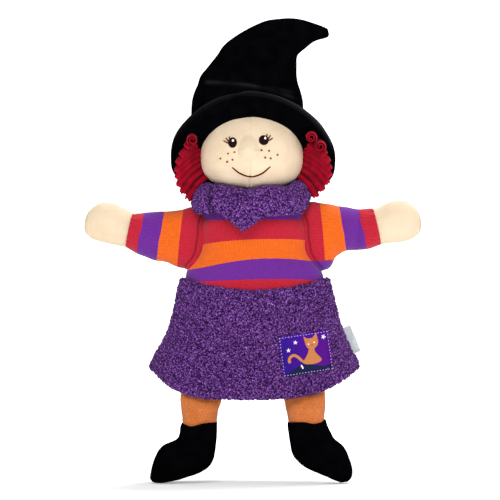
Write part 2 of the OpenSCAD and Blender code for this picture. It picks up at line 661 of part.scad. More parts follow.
module shoe_stuffing(side) color(fill_col) at_ankle(side)
  pillow(toward(shoe_outline, shoe_mid, 1.2 + fill_gap), shoe_mid, shoe_t / 2 - 1.2 - fill_gap);
module shoe_stuffing_left() shoe_stuffing(-1);
module shoe_stuffing_right() shoe_stuffing(1);

shirt_front();
shirt_back();
collar_under();
collar_over();
waist_tape();
glove_sleeve();
skirt_front();
skirt_back();
hip_tapes();
patch();
patch_stitching();
label();
neck_band();
neck_tie();
finger_tube();
head_stuffing();
face_left();
face_right();
head_back();
nose();
eye_left();
eye_right();
freckles();
mouth();
hair_left();
hair_right();
hat_crown();
hat_stuffing();
hat_brim();
hat_tip();
hat_tip_stuffing();
sleeve_left();
sleeve_right();
hand_left();
hand_right();
hand_stuffing_left();
hand_stuffing_right();
leg_left();
leg_right();
leg_stuffing_left();
leg_stuffing_right();
shoe_left();
shoe_right();
shoe_stuffing_left();
shoe_stuffing_right();
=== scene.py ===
import json
import math

import bpy
import numpy as np
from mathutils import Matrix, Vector


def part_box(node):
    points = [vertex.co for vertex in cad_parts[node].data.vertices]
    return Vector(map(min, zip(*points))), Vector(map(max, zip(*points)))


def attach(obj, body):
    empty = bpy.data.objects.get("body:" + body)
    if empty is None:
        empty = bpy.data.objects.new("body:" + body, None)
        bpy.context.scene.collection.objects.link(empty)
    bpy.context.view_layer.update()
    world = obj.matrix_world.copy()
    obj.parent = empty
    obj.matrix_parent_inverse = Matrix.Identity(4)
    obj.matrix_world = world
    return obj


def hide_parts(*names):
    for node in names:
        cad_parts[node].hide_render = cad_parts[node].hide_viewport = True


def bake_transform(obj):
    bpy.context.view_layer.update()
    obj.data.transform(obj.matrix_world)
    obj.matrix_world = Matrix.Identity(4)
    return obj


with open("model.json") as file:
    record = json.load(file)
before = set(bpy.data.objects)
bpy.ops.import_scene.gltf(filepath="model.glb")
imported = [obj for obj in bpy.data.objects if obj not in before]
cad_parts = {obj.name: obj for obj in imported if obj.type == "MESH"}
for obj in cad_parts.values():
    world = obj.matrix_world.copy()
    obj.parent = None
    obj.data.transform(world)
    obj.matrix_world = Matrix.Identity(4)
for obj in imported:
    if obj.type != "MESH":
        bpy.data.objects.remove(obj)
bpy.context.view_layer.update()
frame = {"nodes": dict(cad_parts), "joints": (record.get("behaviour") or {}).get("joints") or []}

# Lengths below are in millimetres, and become metres where a mesh is made.
MM = 0.001
SIDES = {"left": -1, "right": 1}
SHARP = math.radians(62)     # a crease steeper than this shows as an edge
FACE_CLOTH = 1.5
SHIRT_CLOTH = 1.2
THIN_CLOTH = 0.9             # felt, lining and tapes


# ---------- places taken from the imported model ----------
def low(node):
    """The lowest corner of a CAD node, in millimetres."""
    return np.array(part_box(node)[0]) / MM


def high(node):
    """The highest corner of a CAD node, in millimetres."""
    return np.array(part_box(node)[1]) / MM


def middle(node):
    """The middle of a CAD node's box, in millimetres."""
    return (low(node) + high(node)) / 2


JOINT = {j["name"]: np.array(j["pos_m"]) / MM for j in frame["joints"]}
HEAD = np.array([0.0, 0.0, middle("face_right")[2] - 1])
WAIST = high("skirt_front")[2]
NECK = JOINT["head_nod"][2]
FLOOR = min(low("shoe_left")[2], low("shoe_right")[2])


# ---------- curves and swells ----------
def keyed(table, s):
    """Values at s from rows of (place, values...), as cubic curves between the rows.

    The slope at each row is that from the row before it to the row after it.
    """
    t = np.asarray(table, float)
    x, y = t[:, 0], t[:, 1:]
    m = np.gradient(y, x, axis=0)
    s = np.clip(np.asarray(s, float), x[0], x[-1])
    i = np.clip(np.searchsorted(x, s, side="right") - 1, 0, len(x) - 2)
    h = (x[i + 1] - x[i])[..., None]
    u = (s - x[i])[..., None] / h
    return ((2 * u**3 - 3 * u**2 + 1) * y[i] + (u**3 - 2 * u**2 + u) * h * m[i]
            + (3 * u**2 - 2 * u**3) * y[i + 1] + (u**3 - u**2) * h * m[i + 1])


def spread(rows, count):
    """A pile of rings or points made into count of them, by cubic curves down each column."""
    rows = np.asarray(rows, float)
    table = np.column_stack([np.arange(len(rows)), rows.reshape(len(rows), -1)])
    return keyed(table, np.linspace(0, len(rows) - 1, count)).reshape((count,) + rows.shape[1:])


def columns(table, s):
    """The values that keyed gives at s, one array for each column."""
    return np.moveaxis(keyed(table, s), -1, 0)


def grid(x, y, z):
    """Points from their three coordinates, each spread over the whole grid."""
    return np.stack(np.broadcast_arrays(x, y, z), axis=-1)


def step(lo, hi, v):
    """Rises smoothly from 0 at lo to 1 at hi."""
    t = np.clip((v - lo) / (hi - lo), 0, 1)
    return t * t * (3 - 2 * t)


def hump(v, wide):
    """A bell: 1 where v is 0, falling as the exponential of minus the square of v over its width."""
    return np.exp(-(v / wide) ** 2)


def turn_round(count):
    """One row of angles, evenly round a whole turn."""
    return np.linspace(0, 2 * np.pi, count, endpoint=False)[None, :]


def power(v, p):
    """The sign of v times its size to the power p, which squares off an ellipse."""
    return np.sign(v) * np.abs(v) ** p


def swell(p, size, seed, waves=9):
    """A smooth, irregular swell over points p: the mean of sine waves of about that size.

    Their directions, lengths and phases come from the seed.
    """
    rng = np.random.default_rng(seed)
    d = rng.normal(size=(waves, 3))
    d /= np.linalg.norm(d, axis=1)[:, None]
    k = 2 * np.pi / (size * rng.uniform(0.7, 1.5, waves))
    return 1.7 * np.sin((p @ d.T) * k + rng.uniform(0, 2 * np.pi, waves)).mean(-1)


def yarn_loops(a, b, pitch, seed):
    """Height and tint of looped plush at cloth places (a, b).

    Each loop is a short oval dome, turned its own way, round a jittered place on a square grid of that pitch.
    The height is the tallest dome there, from 0 to 1, and the tint is that loop's own number.
    """
    n = 61
    ja, jb, tint, turn = np.random.default_rng(seed).random((4, n, n))
    ia, ib = np.floor(a / pitch).astype(int), np.floor(b / pitch).astype(int)
    near, shade = np.full(a.shape, 9.0), np.zeros(a.shape)
    for da in (-1, 0, 1):
        for db in (-1, 0, 1):
            k = ((ia + da) % n, (ib + db) % n)
            x, y = a / pitch - (ia + da + ja[k]), b / pitch - (ib + db + jb[k])
            c, s = np.cos(turn[k] * np.pi), np.sin(turn[k] * np.pi)
            d = (x * c + y * s) ** 2 * 0.62 + (y * c - x * s) ** 2 * 1.7
            shade = np.where(d < near, tint[k], shade)
            near = np.minimum(near, d)
    return np.sqrt(np.clip(1 - near / 0.62, 0, 1)), shade


# ---------- grids of points, and the meshes made from them ----------
def normals(p, wrap):
    """Unit normals of a grid, from the cross product of its two directions; wrap joins its sides."""
    down = np.gradient(p, axis=0)
    if wrap:
        across = (np.roll(p, -1, axis=1) - np.roll(p, 1, axis=1)) / 2
    else:
        across = np.gradient(p, axis=1)
    n = np.cross(across, down)
    size = np.linalg.norm(n, axis=2, keepdims=True)
    return n / np.maximum(size, 1e-9)


def outward(p, wrap, centre):
    """A grid's unit normals, turned as a whole so that they point away from centre."""
    n = normals(p, wrap)
    return n if (n * (p - centre)).sum() > 0 else -n


def lengths(p):
    """How far along its row and along its column each point of a grid lies."""
    def run(q, axis):
        d = np.linalg.norm(np.diff(q, axis=axis), axis=2)
        pad = [(1, 0), (0, 0)] if axis == 0 else [(0, 0), (1, 0)]
        return np.pad(np.cumsum(d, axis=axis), pad)
    return run(p, 1), run(p, 0)


def add_mesh(name, points, faces, uv_points, uv_faces, attributes, finish):
    """A mesh object from points in millimetres and lists of faces, with its UV map and point attributes.

    The volume is the sum over the faces of their corners' triple products; where it comes out negative, every
    face is turned round, so that faces point outwards.
    """
    points = np.asarray(points, float)
    volume = 0.0
    for f in faces:
        for k in range(1, f.shape[1] - 1):
            a, b, c = points[f[:, 0]], points[f[:, k]], points[f[:, k + 1]]
            volume += (a * np.cross(b, c)).sum()
    if volume < 0:
        faces = [f[:, ::-1] for f in faces]
        uv_faces = [f[:, ::-1] for f in uv_faces]
    mesh = bpy.data.meshes.new(name)
    mesh.vertices.add(len(points))
    mesh.vertices.foreach_set("co", (points * MM).astype(np.float32).ravel())
    corners = np.concatenate([f.ravel() for f in faces])
    sizes = np.concatenate([np.full(len(f), f.shape[1]) for f in faces])
    mesh.loops.add(len(corners))
    mesh.loops.foreach_set("vertex_index", corners.astype(np.int32))
    mesh.polygons.add(len(sizes))
    mesh.polygons.foreach_set("loop_start", (np.cumsum(sizes) - sizes).astype(np.int32))
    mesh.update(calc_edges=True)
    layer = mesh.uv_layers.new(name="cloth")
    uv_corners = np.concatenate([f.ravel() for f in uv_faces])
    layer.data.foreach_set("uv", uv_points[uv_corners].astype(np.float32).ravel())
    for key, values in attributes.items():
        made = mesh.attributes.new(key, "FLOAT", "POINT")
        made.data.foreach_set("value", np.asarray(values, np.float32).ravel())
    mesh.polygons.foreach_set("use_smooth", np.ones(len(sizes), bool))
    mesh.set_sharp_from_angle(angle=SHARP)
    mesh.validate()
    mesh.materials.append(finish)
    piece = bpy.data.objects.new(name, mesh)
    bpy.context.scene.collection.objects.link(piece)
    return piece


def grid_faces(rows, cols, first=0):
    """Four-sided faces between the points of a grid, as rows of point numbers."""
    i, j = np.meshgrid(np.arange(rows - 1), np.arange(cols - 1), indexing="ij")
    a = (first + i * cols + j).ravel()
    return np.column_stack([a, a + cols, a + cols + 1, a + 1])


def joined(faces, cols):
    """Point numbers of a grid of cols + 1 columns, for one whose last column is also its first."""
    return faces // (cols + 1) * cols + faces % (cols + 1) % cols


def stuffed(name, p, finish, attributes=None):
    """A closed stuffed form from rings p, rows by columns, with a point at each end that closes the pole.

    The poles are the means of the first and the last ring.
    """
    rows, cols = p.shape[:2]
    uv = np.stack(lengths(np.concatenate([p, p[:, :1]], axis=1)), axis=2)
    ends = np.array([p[0].mean(0), p[-1].mean(0)])
    points = np.concatenate([p.reshape(-1, 3), ends])
    quads = grid_faces(rows, cols + 1)
    j = np.arange(cols)
    top, tail = rows * cols, rows * cols + 1
    last = (rows - 1) * cols
    fans = np.concatenate([
        np.column_stack([np.full(cols, top), j, (j + 1) % cols]),
        np.column_stack([np.full(cols, tail), last + (j + 1) % cols, last + j])])
    uv_last = (rows - 1) * (cols + 1)
    uv_fans = np.concatenate([
        np.column_stack([j, j, j + 1]), np.column_stack([uv_last + j, uv_last + j + 1, uv_last + j])])
    values = {}
    for key, v in (attributes or {}).items():
        values[key] = np.concatenate([v.ravel(), [v[0].mean(), v[-1].mean()]])
    return add_mesh(name, points, [joined(quads, cols), fans], uv.reshape(-1, 2) * MM,
                    [quads, uv_fans], values, finish)


def sewn(name, p, thick, finish, wrap=False, centre=(0, 0, 0), uv=None, front=None, back=None,
         attributes=None):
    """A piece of cloth with two faces and a soft rim, from its middle surface p, rows by columns.

    Each face stands half the thickness away along the normals, plus its own relief, front or back.
    The rim row at each end stands a little further out along the cloth, which rounds the edge.
    """
    rows, cols = p.shape[:2]
    n = outward(p, wrap, np.asarray(centre, float))
    zero = np.zeros((rows, cols))
    front = zero if front is None else front
    back = zero if back is None else back
    thick = np.broadcast_to(thick, (rows, cols))
    outer = p + n * (thick / 2 + front)[..., None]
    inner = p - n * (thick / 2 + back)[..., None]

    def rim(edge, inside):
        out = p[edge] - p[inside]
        out /= np.maximum(np.linalg.norm(out, axis=1, keepdims=True), 1e-9)
        return p[edge] + out * (thick[edge] * 0.42 + front[edge])[:, None]

    ring = np.concatenate([outer, rim(-1, -2)[None], inner[::-1], rim(0, 1)[None]])
    if uv is None:
        q = np.concatenate([p, p[:, :1]], axis=1) if wrap else p
        uv = np.stack(lengths(q), axis=2)
    uv_ring = np.concatenate([uv, uv[-1:], uv[::-1], uv[:1], uv[:1]]) * MM
    values = {}
    for key, v in (attributes or {}).items():
        values[key] = np.concatenate([v, v[-1:], v[::-1], v[:1]])
    count = len(ring)
    wide = cols + 1 if wrap else cols
    uv_faces = grid_faces(count + 1, wide)
    i, j = uv_faces // wide, uv_faces % wide
    faces = [(i % count) * cols + j % cols]
    uv_faces = [uv_faces]
    if not wrap:
        k = np.arange(rows - 1)
        for col in (0, cols - 1):
            def at(r):
                return (r % count) * cols + col
            quads = np.column_stack([at(k), at(k + 1), at(2 * rows - k - 1), at(2 * rows - k)])
            tips = np.array([[at(rows - 1), at(rows), at(rows + 1)],
                             [at(2 * rows), at(2 * rows + 1), at(0)]])
            if col == 0:
                quads, tips = quads[:, ::-1], tips[:, ::-1]
            faces += [quads, tips]
            uv_faces += [quads, tips]
    return add_mesh(name, ring.reshape(-1, 3), faces, uv_ring.reshape(-1, 2), uv_faces, values, finish)


def cut_of(p, wrap=False):
    """The flat cut of a cloth with middle surface p: its mean width and length, and its area, in metres."""
    q = np.concatenate([p, p[:, :1]], axis=1) if wrap else p
    across, along = lengths(q)
    width, length = across[:, -1].mean() * MM, along[-1].mean() * MM
    a, b = q[1:, 1:] - q[:-1, :-1], q[1:, :-1] - q[:-1, 1:]
    area = np.linalg.norm(np.cross(a, b), axis=2).sum() / 2 * MM * MM
    width = max(width, area / length)
    return (float(width), float(length)), float(min(area, width * length))


def declare_sheet(p, wrap=False):
    """Works out the size that a piece of cloth's middle surface has when laid flat, and its area; nothing is
    done with them.

    A tape narrower than 10 mm is left out, since it hangs stiff.
    """
    flat, area = cut_of(p, wrap)


def dress(piece, nodes=(), body=None):
    """Parents a piece to the empty of the body it rides on, and hides the CAD nodes that it stands for.
    """
    if body:
        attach(piece, body)
    if nodes:
        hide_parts(*nodes)


# ---------- materials ----------
def rgb(r, g, b, share=1.0):
    """A colour as the eye reads it, 0 to 255, as the light it gives back."""
    c = np.array([r, g, b], float) / 255
    c = np.where(c <= 0.04045, c / 12.92, ((c + 0.055) / 1.055) ** 2.4) * share
    return (*[float(v) for v in c], 1.0)


def node(tree, kind, inputs=None, **settings):
    """A shader node with its settings; an input is a plain value or another node's socket."""
    made = tree.nodes.new(kind)
    for key, value in settings.items():
        setattr(made, key, value)
    for key, value in (inputs or {}).items():
        if isinstance(value, bpy.types.NodeSocket):
            tree.links.new(value, made.inputs[key])
        else:
            made.inputs[key].default_value = value
    return made


def ramp(tree, fac, stops, mode="LINEAR"):
    """A colour ramp over fac; stops are (place, colour)."""
    made = node(tree, "ShaderNodeValToRGB", {"Fac": fac})
    band = made.color_ramp
    band.interpolation = mode
    for i, (place, colour) in enumerate(stops):
        stop = band.elements[i] if i < 2 else band.elements.new(place)
        stop.position, stop.color = place, colour
    return made.outputs["Color"]


def mixed(tree, kind, fac, a, b):
    """Two colours mixed in one of the mix modes."""
    made = node(tree, "ShaderNodeMix", data_type="RGBA", blend_type=kind)
    for key, value in ((0, fac), (6, a), (7, b)):
        if isinstance(value, bpy.types.NodeSocket):
            tree.links.new(value, made.inputs[key])
        else:
            made.inputs[key].default_value = value
    return made.outputs[2]


def times(tree, a, b):
    """Two colours multiplied."""
    return mixed(tree, "MULTIPLY", 1.0, a, b)


def maths(tree, operation, *values):
    """A sum worked out on plain values and sockets."""
    return node(tree, "ShaderNodeMath", dict(enumerate(values)), operation=operation).outputs[0]


def attribute(tree, name):
    """A number that the piece carries at each of its points."""
    return node(tree, "ShaderNodeAttribute", attribute_name=name).outputs["Fac"]


def grey(v):
    """A grey that gives back the share v of the light."""
    return (v, v, v, 1)


def start(name, rough, sheen=0.0, specular=0.2, sheen_tint=grey(1), sheen_rough=0.5):
    """A new material with its shader: how rough it is, its sheen and how much it shines."""
    made = bpy.data.materials.new(name)
    made.use_nodes = True
    tree = made.node_tree
    shader = tree.nodes["Principled BSDF"]
    shader.inputs["Roughness"].default_value = rough
    shader.inputs["Specular IOR Level"].default_value = specular
    shader.inputs["Sheen Weight"].default_value = sheen
    shader.inputs["Sheen Roughness"].default_value = sheen_rough
    shader.inputs["Sheen Tint"].default_value = sheen_tint
    return made, tree, shader


def close_up(tree, shader, colour, height, depth, strength=1.0):
    """Joins a material's colour and its bump, depth metres deep, to its shader."""
    if isinstance(colour, bpy.types.NodeSocket):
        tree.links.new(colour, shader.inputs["Base Color"])
    else:
        shader.inputs["Base Color"].default_value = colour
    bump = node(tree, "ShaderNodeBump", {"Height": height, "Distance": depth, "Strength": strength})
    tree.links.new(bump.outputs["Normal"], shader.inputs["Normal"])


def place(tree):
    """The place on the whole object, in metres."""
    return node(tree, "ShaderNodeTexCoord").outputs["Object"]


def cloth_map(tree):
    """The place on the cloth, in metres along its width and its length."""
    return node(tree, "ShaderNodeUVMap", uv_map="cloth").outputs["UV"]


def noise(tree, vector, scale, detail=2.0, rough=0.5):
    """Cloudy noise, scale clouds to the metre."""
    return node(tree, "ShaderNodeTexNoise",
                {"Vector": vector, "Scale": scale, "Detail": detail, "Roughness": rough}).outputs["Fac"]


def weave(tree, vector, scale_x, scale_y):
    """Fine crossing threads: the product of two sets of waves over the cloth's own map."""
    waves = []
    for direction, scale in (("X", scale_x), ("Y", scale_y)):
        inputs = {"Vector": vector, "Scale": scale, "Distortion": 1.2, "Detail": 1.0, "Detail Scale": 2.0}
        waves.append(node(tree, "ShaderNodeTexWave", inputs, bands_direction=direction).outputs["Fac"])
    return maths(tree, "MULTIPLY", waves[0], waves[1])


def jersey(name, dark, light, knit=330, cloud=60, depth=0.0002, sheen=0.15, rough=0.9, grain=(2200, 0.86)):
    """Knitted jersey in one colour: faint clouds, and fine stitches as colour and bump."""
    made, tree, shader = start(name, rough, sheen, 0.15)
    where = place(tree)
    stitches = weave(tree, cloth_map(tree), knit, knit * 1.35)
    speck = noise(tree, where, grain[0], 2.0)
    clouds = ramp(tree, noise(tree, where, cloud, 3.0), [(0.3, dark), (0.7, light)])
    tone = ramp(tree, speck, [(0.28, grey(grain[1])), (0.72, grey(1))])
    colour = times(tree, clouds, tone)
    height = maths(tree, "ADD", stitches, speck)
    close_up(tree, shader, colour, height, depth)
    return made


def plush(name, share=1.0):
    """Looped purple plush: loops of yarn, each with its own tint, with painted light on their tops, painted
    shade between them and painted shade where the pile is low.
    """
    made, tree, shader = start(name, 1.0, 0.12, 0.05, rgb(190, 150, 215), 0.6)
    pile = attribute(tree, "pile")
    tint = attribute(tree, "tint")
    where = place(tree)
    drift = node(tree, "ShaderNodeTexNoise", {"Vector": where, "Scale": 420.0, "Detail": 2.0})
    bent = mixed(tree, "LINEAR_LIGHT", 0.0016, where, drift.outputs["Color"])
    loops = node(tree, "ShaderNodeTexVoronoi", {"Vector": bent, "Scale": 760.0, "Randomness": 1.0})
    fine = noise(tree, where, 2300, 2.0)
    # Painted light and shade: the colour is lightest at each loop's middle and darkest in the gaps between
    # loops.
    body = ramp(tree, loops.outputs["Distance"], [
        (0.0, rgb(154, 112, 180, share)), (0.3, rgb(112, 68, 138, share)), (0.52, rgb(60, 24, 86, share)),
        (0.8, rgb(26, 6, 44, share))])
    loop_number = node(tree, "ShaderNodeSeparateColor", {"Color": loops.outputs["Color"]}).outputs[0]
    own = ramp(tree, loop_number, [(0.0, (0.62, 0.60, 0.66, 1)), (0.6, grey(1)), (1.0, (1.5, 1.5, 1.46, 1))])
    # Painted shade where the pile attribute is low, between loops and in creases, and a painted highlight
    # where it is high.
    painted_pile_shade = ramp(tree, pile, [(0.0, (0.62, 0.6, 0.66, 1)), (0.5, grey(0.98)), (1.0, grey(1.12))])
    slow = ramp(tree, tint, [(0.0, grey(0.9)), (1.0, grey(1.08))])
    colour = times(tree, times(tree, body, own), times(tree, painted_pile_shade, slow))
    dip = maths(tree, "MULTIPLY", loops.outputs["Distance"], -1.0)
    height = maths(tree, "MULTIPLY_ADD", fine, 0.25, dip)
    close_up(tree, shader, colour, height, 0.0012, 0.8)
    return made


def striped(name):
    """Ribbed jersey with violet, red and orange stripes.

    The attribute stripe counts repeats, and each colour takes a third of one. The seam attribute paints shade
    along a sewn line, and the ribs' grooves get painted shade.
    """
    made, tree, shader = start(name, 0.92, 0.12, 0.12)
    stripe = attribute(tree, "stripe")
    wobble = noise(tree, place(tree), 380, 2.0)
    shift = maths(tree, "MULTIPLY", wobble, 0.012)
    edge = maths(tree, "ADD", stripe, shift)
    turn = maths(tree, "FRACT", edge)
    third = 1 / 3
    stops = [(0.0, rgb(104, 38, 142)), (third, rgb(184, 30, 50)), (2 * third, rgb(228, 100, 24))]
    band = ramp(tree, turn, stops, "CONSTANT")
    rib = {"Vector": cloth_map(tree), "Scale": 260, "Distortion": 0.6, "Detail": 1.0}
    ribs = node(tree, "ShaderNodeTexWave", rib, bands_direction="X").outputs["Fac"]
    speck = noise(tree, place(tree), 1200, 2.0)
    # Painted shade in the grooves between ribs.
    tone = ramp(tree, ribs, [(0.0, (0.74, 0.70, 0.72, 1)), (0.6, grey(1.02))])
    fleck = ramp(tree, speck, [(0.3, (0.78, 0.78, 0.8, 1)), (0.7, grey(1.1))])
    seam = attribute(tree, "seam")
    # Painted shade along the seam, where the attribute seam is set.
    seam_shade = ramp(tree, seam, [(0.2, grey(1)), (1.0, (0.42, 0.36, 0.40, 1))])
    cloth = times(tree, times(tree, band, tone), fleck)
    colour = times(tree, cloth, seam_shade)
    close_up(tree, shader, colour, ribs, 0.0003, 0.7)
    return made


def velour(name):
    """Near-black velour: a very short pile that drinks the light, with a painted grey highlight where the
    crest attribute is set, along fold ridges and the brim's edge.
    """
    made, tree, shader = start(name, 1.0, 0.0, 0.0)
    crest = attribute(tree, "crest")
    where = place(tree)
    pile = noise(tree, where, 1800, 3.0, 0.7)
    ground = ramp(tree, noise(tree, where, 90, 3.0), [(0.3, rgb(2, 2, 3)), (0.75, rgb(6, 6, 8))])
    # Painted highlight: a lighter grey mixed in by the crest attribute.
    painted_highlight = ramp(tree, pile, [(0.3, rgb(34, 34, 37)), (0.7, rgb(66, 66, 70))])
    colour = mixed(tree, "MIX", crest, ground, painted_highlight)
    close_up(tree, shader, colour, pile, 0.0004, 0.7)
    return made


def hair_cloth(name):
    """Crimson jersey strips: painted shade in the folds and a painted highlight at the strips' ends, both set
    by the strip attribute, with a fine lengthwise knit.
    """
    made, tree, shader = start(name, 0.95, 0.12, 0.08, rgb(255, 120, 140))
    strip = attribute(tree, "strip")
    knit = weave(tree, cloth_map(tree), 420, 300)
    clouds = noise(tree, place(tree), 160, 3.0)
    body = ramp(tree, clouds, [(0.3, rgb(120, 1, 22)), (0.72, rgb(154, 5, 33))])
    # Painted shade where strip is low, and a painted highlight where it is 1.
    own = ramp(tree, strip, [(0.0, (0.36, 0.33, 0.36, 1)), (0.5, (0.86, 0.84, 0.84, 1)), (0.85, grey(1.05)),
                       (1.0, (1.3, 1.35, 1.35, 1))])
    close_up(tree, shader, times(tree, body, own), knit, 0.00025, 0.8)
    return made


def thread(name, dark, light, scale=900):
    """Twisted sewing or embroidery thread, with its twist as fine slanting ridges and painted shade in the
    grooves between them.
    """
    made, tree, shader = start(name, 0.7, 0.0, 0.08)
    twist = node(tree, "ShaderNodeTexWave", {"Vector": place(tree), "Scale": scale, "Distortion": 1.5},
                 bands_direction="DIAGONAL").outputs["Fac"]
    close_up(tree, shader, ramp(tree, twist, [(0.1, dark), (0.8, light)]), twist, 0.0002, 0.6)
    return made


def satin_print(name):
    """Violet printed satin: the ground goes from blue-violet to purple, with a dark hill along the bottom."""
    made, tree, shader = start(name, 0.5, 0.0, 0.1)
    across = attribute(tree, "across")
    up = attribute(tree, "up")
    hill = attribute(tree, "hill")
    clouds = noise(tree, place(tree), 120, 3.0)
    mottled = maths(tree, "MULTIPLY", clouds, 0.35)
    along = maths(tree, "ADD", across, mottled)
    ground = ramp(tree, along, [(0.15, rgb(32, 0, 118)), (0.7, rgb(66, 0, 132)), (1.0, rgb(76, 2, 122))])
    sky = mixed(tree, "MIX", ramp(tree, up, [(0.7, grey(0)), (1.0, grey(0.4))]), ground,
                rgb(50, 8, 150))
    mask = ramp(tree, hill, [(0.46, grey(0)), (0.54, grey(1))])
    colour = mixed(tree, "MIX", mask, sky, rgb(12, 22, 62))
    close_up(tree, shader, colour, weave(tree, cloth_map(tree), 700, 1100), 0.0001, 0.5)
    return made


def plain_paint(name, colour, rough=0.6):
    """A printed motif: one colour, slightly mottled by the satin's weave."""
    made, tree, shader = start(name, rough, 0.0, 0.08)
    grain = noise(tree, place(tree), 2600, 2.0)
    light = ramp(tree, grain, [(0.2, grey(0.86)), (0.8, grey(1))])
    close_up(tree, shader, times(tree, colour, light), grain, 0.00008, 0.6)
    return made


def card(name):
    """Grey-brown rolled card with faint fibres."""
    made, tree, shader = start(name, 0.85, 0.0, 0.25)
    fibre = noise(tree, place(tree), 900, 5.0, 0.7)
    colour = ramp(tree, fibre, [(0.3, rgb(150, 124, 94)), (0.7, rgb(186, 160, 126))])
    close_up(tree, shader, colour, fibre, 0.0001)
    return made


SKIN = jersey("face_jersey", rgb(221, 198, 167), rgb(232, 211, 182))
HAND = jersey("hand_jersey", rgb(221, 199, 168), rgb(229, 208, 179))
LEGS = jersey("leg_fleece", rgb(226, 124, 60), rgb(234, 134, 68), knit=260, cloud=110, depth=0.0005,
              sheen=0.1, grain=(1100, 0.62))
LINING = jersey("lining", rgb(206, 196, 176), rgb(222, 214, 196))
TAPE = jersey("waist_tape_weave", rgb(62, 48, 74), rgb(78, 64, 92), knit=500)
PLUSH = plush("skirt_plush", 1.12)
COLLAR_PLUSH = plush("collar_plush", 1.2)
STRIPES = striped("striped_jersey")
VELOUR = velour("black_velour")
HAIR = hair_cloth("crimson_strips")
THREAD = thread("dark_thread", rgb(10, 4, 5), rgb(34, 12, 12))
LASH = thread("lash_thread", rgb(50, 0, 10), rgb(88, 6, 20))
MOUTH = thread("mouth_thread", rgb(52, 2, 8), rgb(100, 12, 18), 1300)
FRECKLE = thread("freckle_thread", rgb(84, 50, 28), rgb(124, 80, 48))
SATIN = satin_print("violet_satin")
CAT = plain_paint("tan_print", rgb(188, 118, 70))
STAR = plain_paint("white_print", rgb(250, 246, 255))
CAT_FACE = plain_paint("cat_face_print", rgb(110, 44, 70))
STITCH = thread("lilac_thread", rgb(150, 116, 196), rgb(212, 190, 238), 1500)
LABEL = jersey("label_satin", rgb(182, 188, 192), rgb(206, 211, 214), knit=900, cloud=200, depth=0.0001,
               sheen=0.3, rough=0.5)
CARD = card("rolled_card")


# ---------- the head: its surface, and things on it ----------
HEAD_X = -0.9
HEAD_HALF = 41.2
HEAD_DEEP = 37.9
HEAD_MID = HEAD[2] - 5.6     # the widest level
HEAD_DOWN = 27.0             # from there to the chin
HEAD_UP = 41.0               # and to the crown
SQUARE_DOWN, SQUARE_UP = 2.45, 2.1   # powers of the head's outline below and above; 2 is an ellipse
SEAM_X = -2.4
NOSE = (-3.3, HEAD[2] - 1.4)


def ring_share(f):
    """How wide the head is at f radians above its widest level, and the power of f's cosine that gives it."""
    p = np.where(f < 0, 2 / SQUARE_DOWN, 2 / SQUARE_UP)
    return np.abs(np.cos(f)) ** p, p


def head_points(f, u):
    """Points of the stuffed head, in degrees: f above its widest level and u round from the front.

    Each level is an ellipse, whose size falls as a power of the cosine of f.
    """
    f, u = np.radians(f), np.radians(u)
    share, p = ring_share(f)
    rise = np.where(f < 0, HEAD_DOWN, HEAD_UP) * np.sign(np.sin(f)) * np.abs(np.sin(f)) ** p
    return grid(HEAD_X + HEAD_HALF * share * np.sin(u), -HEAD_DEEP * share * np.cos(u), HEAD_MID + rise)


def nose_height(x, z):
    """How far the pinched nose stands out: an oval dome, with a long slope above and a short one below."""
    dx, dz = x - NOSE[0], z - NOSE[1]
    above = dz > 0
    r = (dx / np.where(above, 8.6, 8.8)) ** 2 + (dz / np.where(above, 13.0, 8.6)) ** 2
    return 5.3 * np.clip(1 - r, 0, 1) ** np.where(above, 1.5, 0.95)


def seam_height(x, z):
    """The seam down the middle of the face: a narrow groove between two faint lips, with small puckers."""
    d = np.abs(x - SEAM_X)
    pucker = 1 + 0.35 * np.sin(z * 1.9) * np.sin(z * 0.83 + 1)
    chin = 1.0 * hump(z - HEAD_MID + HEAD_DOWN - 2, 3.5) * hump(d, 4)
    deep = 0.26 + 0.34 * step(HEAD_MID + 4, HEAD_MID - 2, z)
    return (0.16 * hump(d - 1.8, 1.2) - deep * hump(d, 0.6)) * pucker + chin


def level_share(z):
    """How wide the head is at a level z, against its widest: one less a power of the height, and its root."""
    up = z > HEAD_MID
    c, p = np.where(up, HEAD_UP, HEAD_DOWN), np.where(up, SQUARE_UP, SQUARE_DOWN)
    return np.clip(1 - (np.abs(z - HEAD_MID) / c) ** p, 0, 1) ** (1 / p)


def face_y(x, z):
    """The face's front surface over a place (x, z): the head's form with the nose standing out of it."""
    share = level_share(z)
    half = HEAD_HALF * share
    depth = HEAD_DEEP * share * np.sqrt(np.clip(1 - ((x - HEAD_X) / np.maximum(half, 1e-6)) ** 2, 0, 1))
    return -depth - nose_height(x, z)


def face_panel(name, side, nodes):
    """One half of the face, from the ear to the middle seam, with its part of the nose."""
    f = np.linspace(-75, 84, 130)[:, None]
    share = ring_share(np.radians(f))[0]
    seam = np.degrees(np.arcsin(np.clip((SEAM_X - HEAD_X + side * -0.15) / (HEAD_HALF * share), -1, 1)))
    t = (np.linspace(0, 1, 110) ** 1.25)[None, :]
    u = seam + (side * 98 - seam) * t
    p = head_points(f, u)
    n = outward(p, False, HEAD)
    front = (np.abs(u) < 85) * (nose_height(p[..., 0], p[..., 2]) + seam_height(p[..., 0], p[..., 2]))
    front = front + 0.35 * swell(p, 26, 5) + 0.12 * swell(p, 9, 6)
    piece = sewn(name, p - n * FACE_CLOTH / 2, FACE_CLOTH, SKIN, centre=HEAD, front=front,
                 back=np.minimum(front, 0) * -0.5)
    dress(piece, nodes, "head")


face_panel("cheek_left", -1, ["face_left", "nose", "head_stuffing"])
face_panel("cheek_right", 1, ["face_right"])

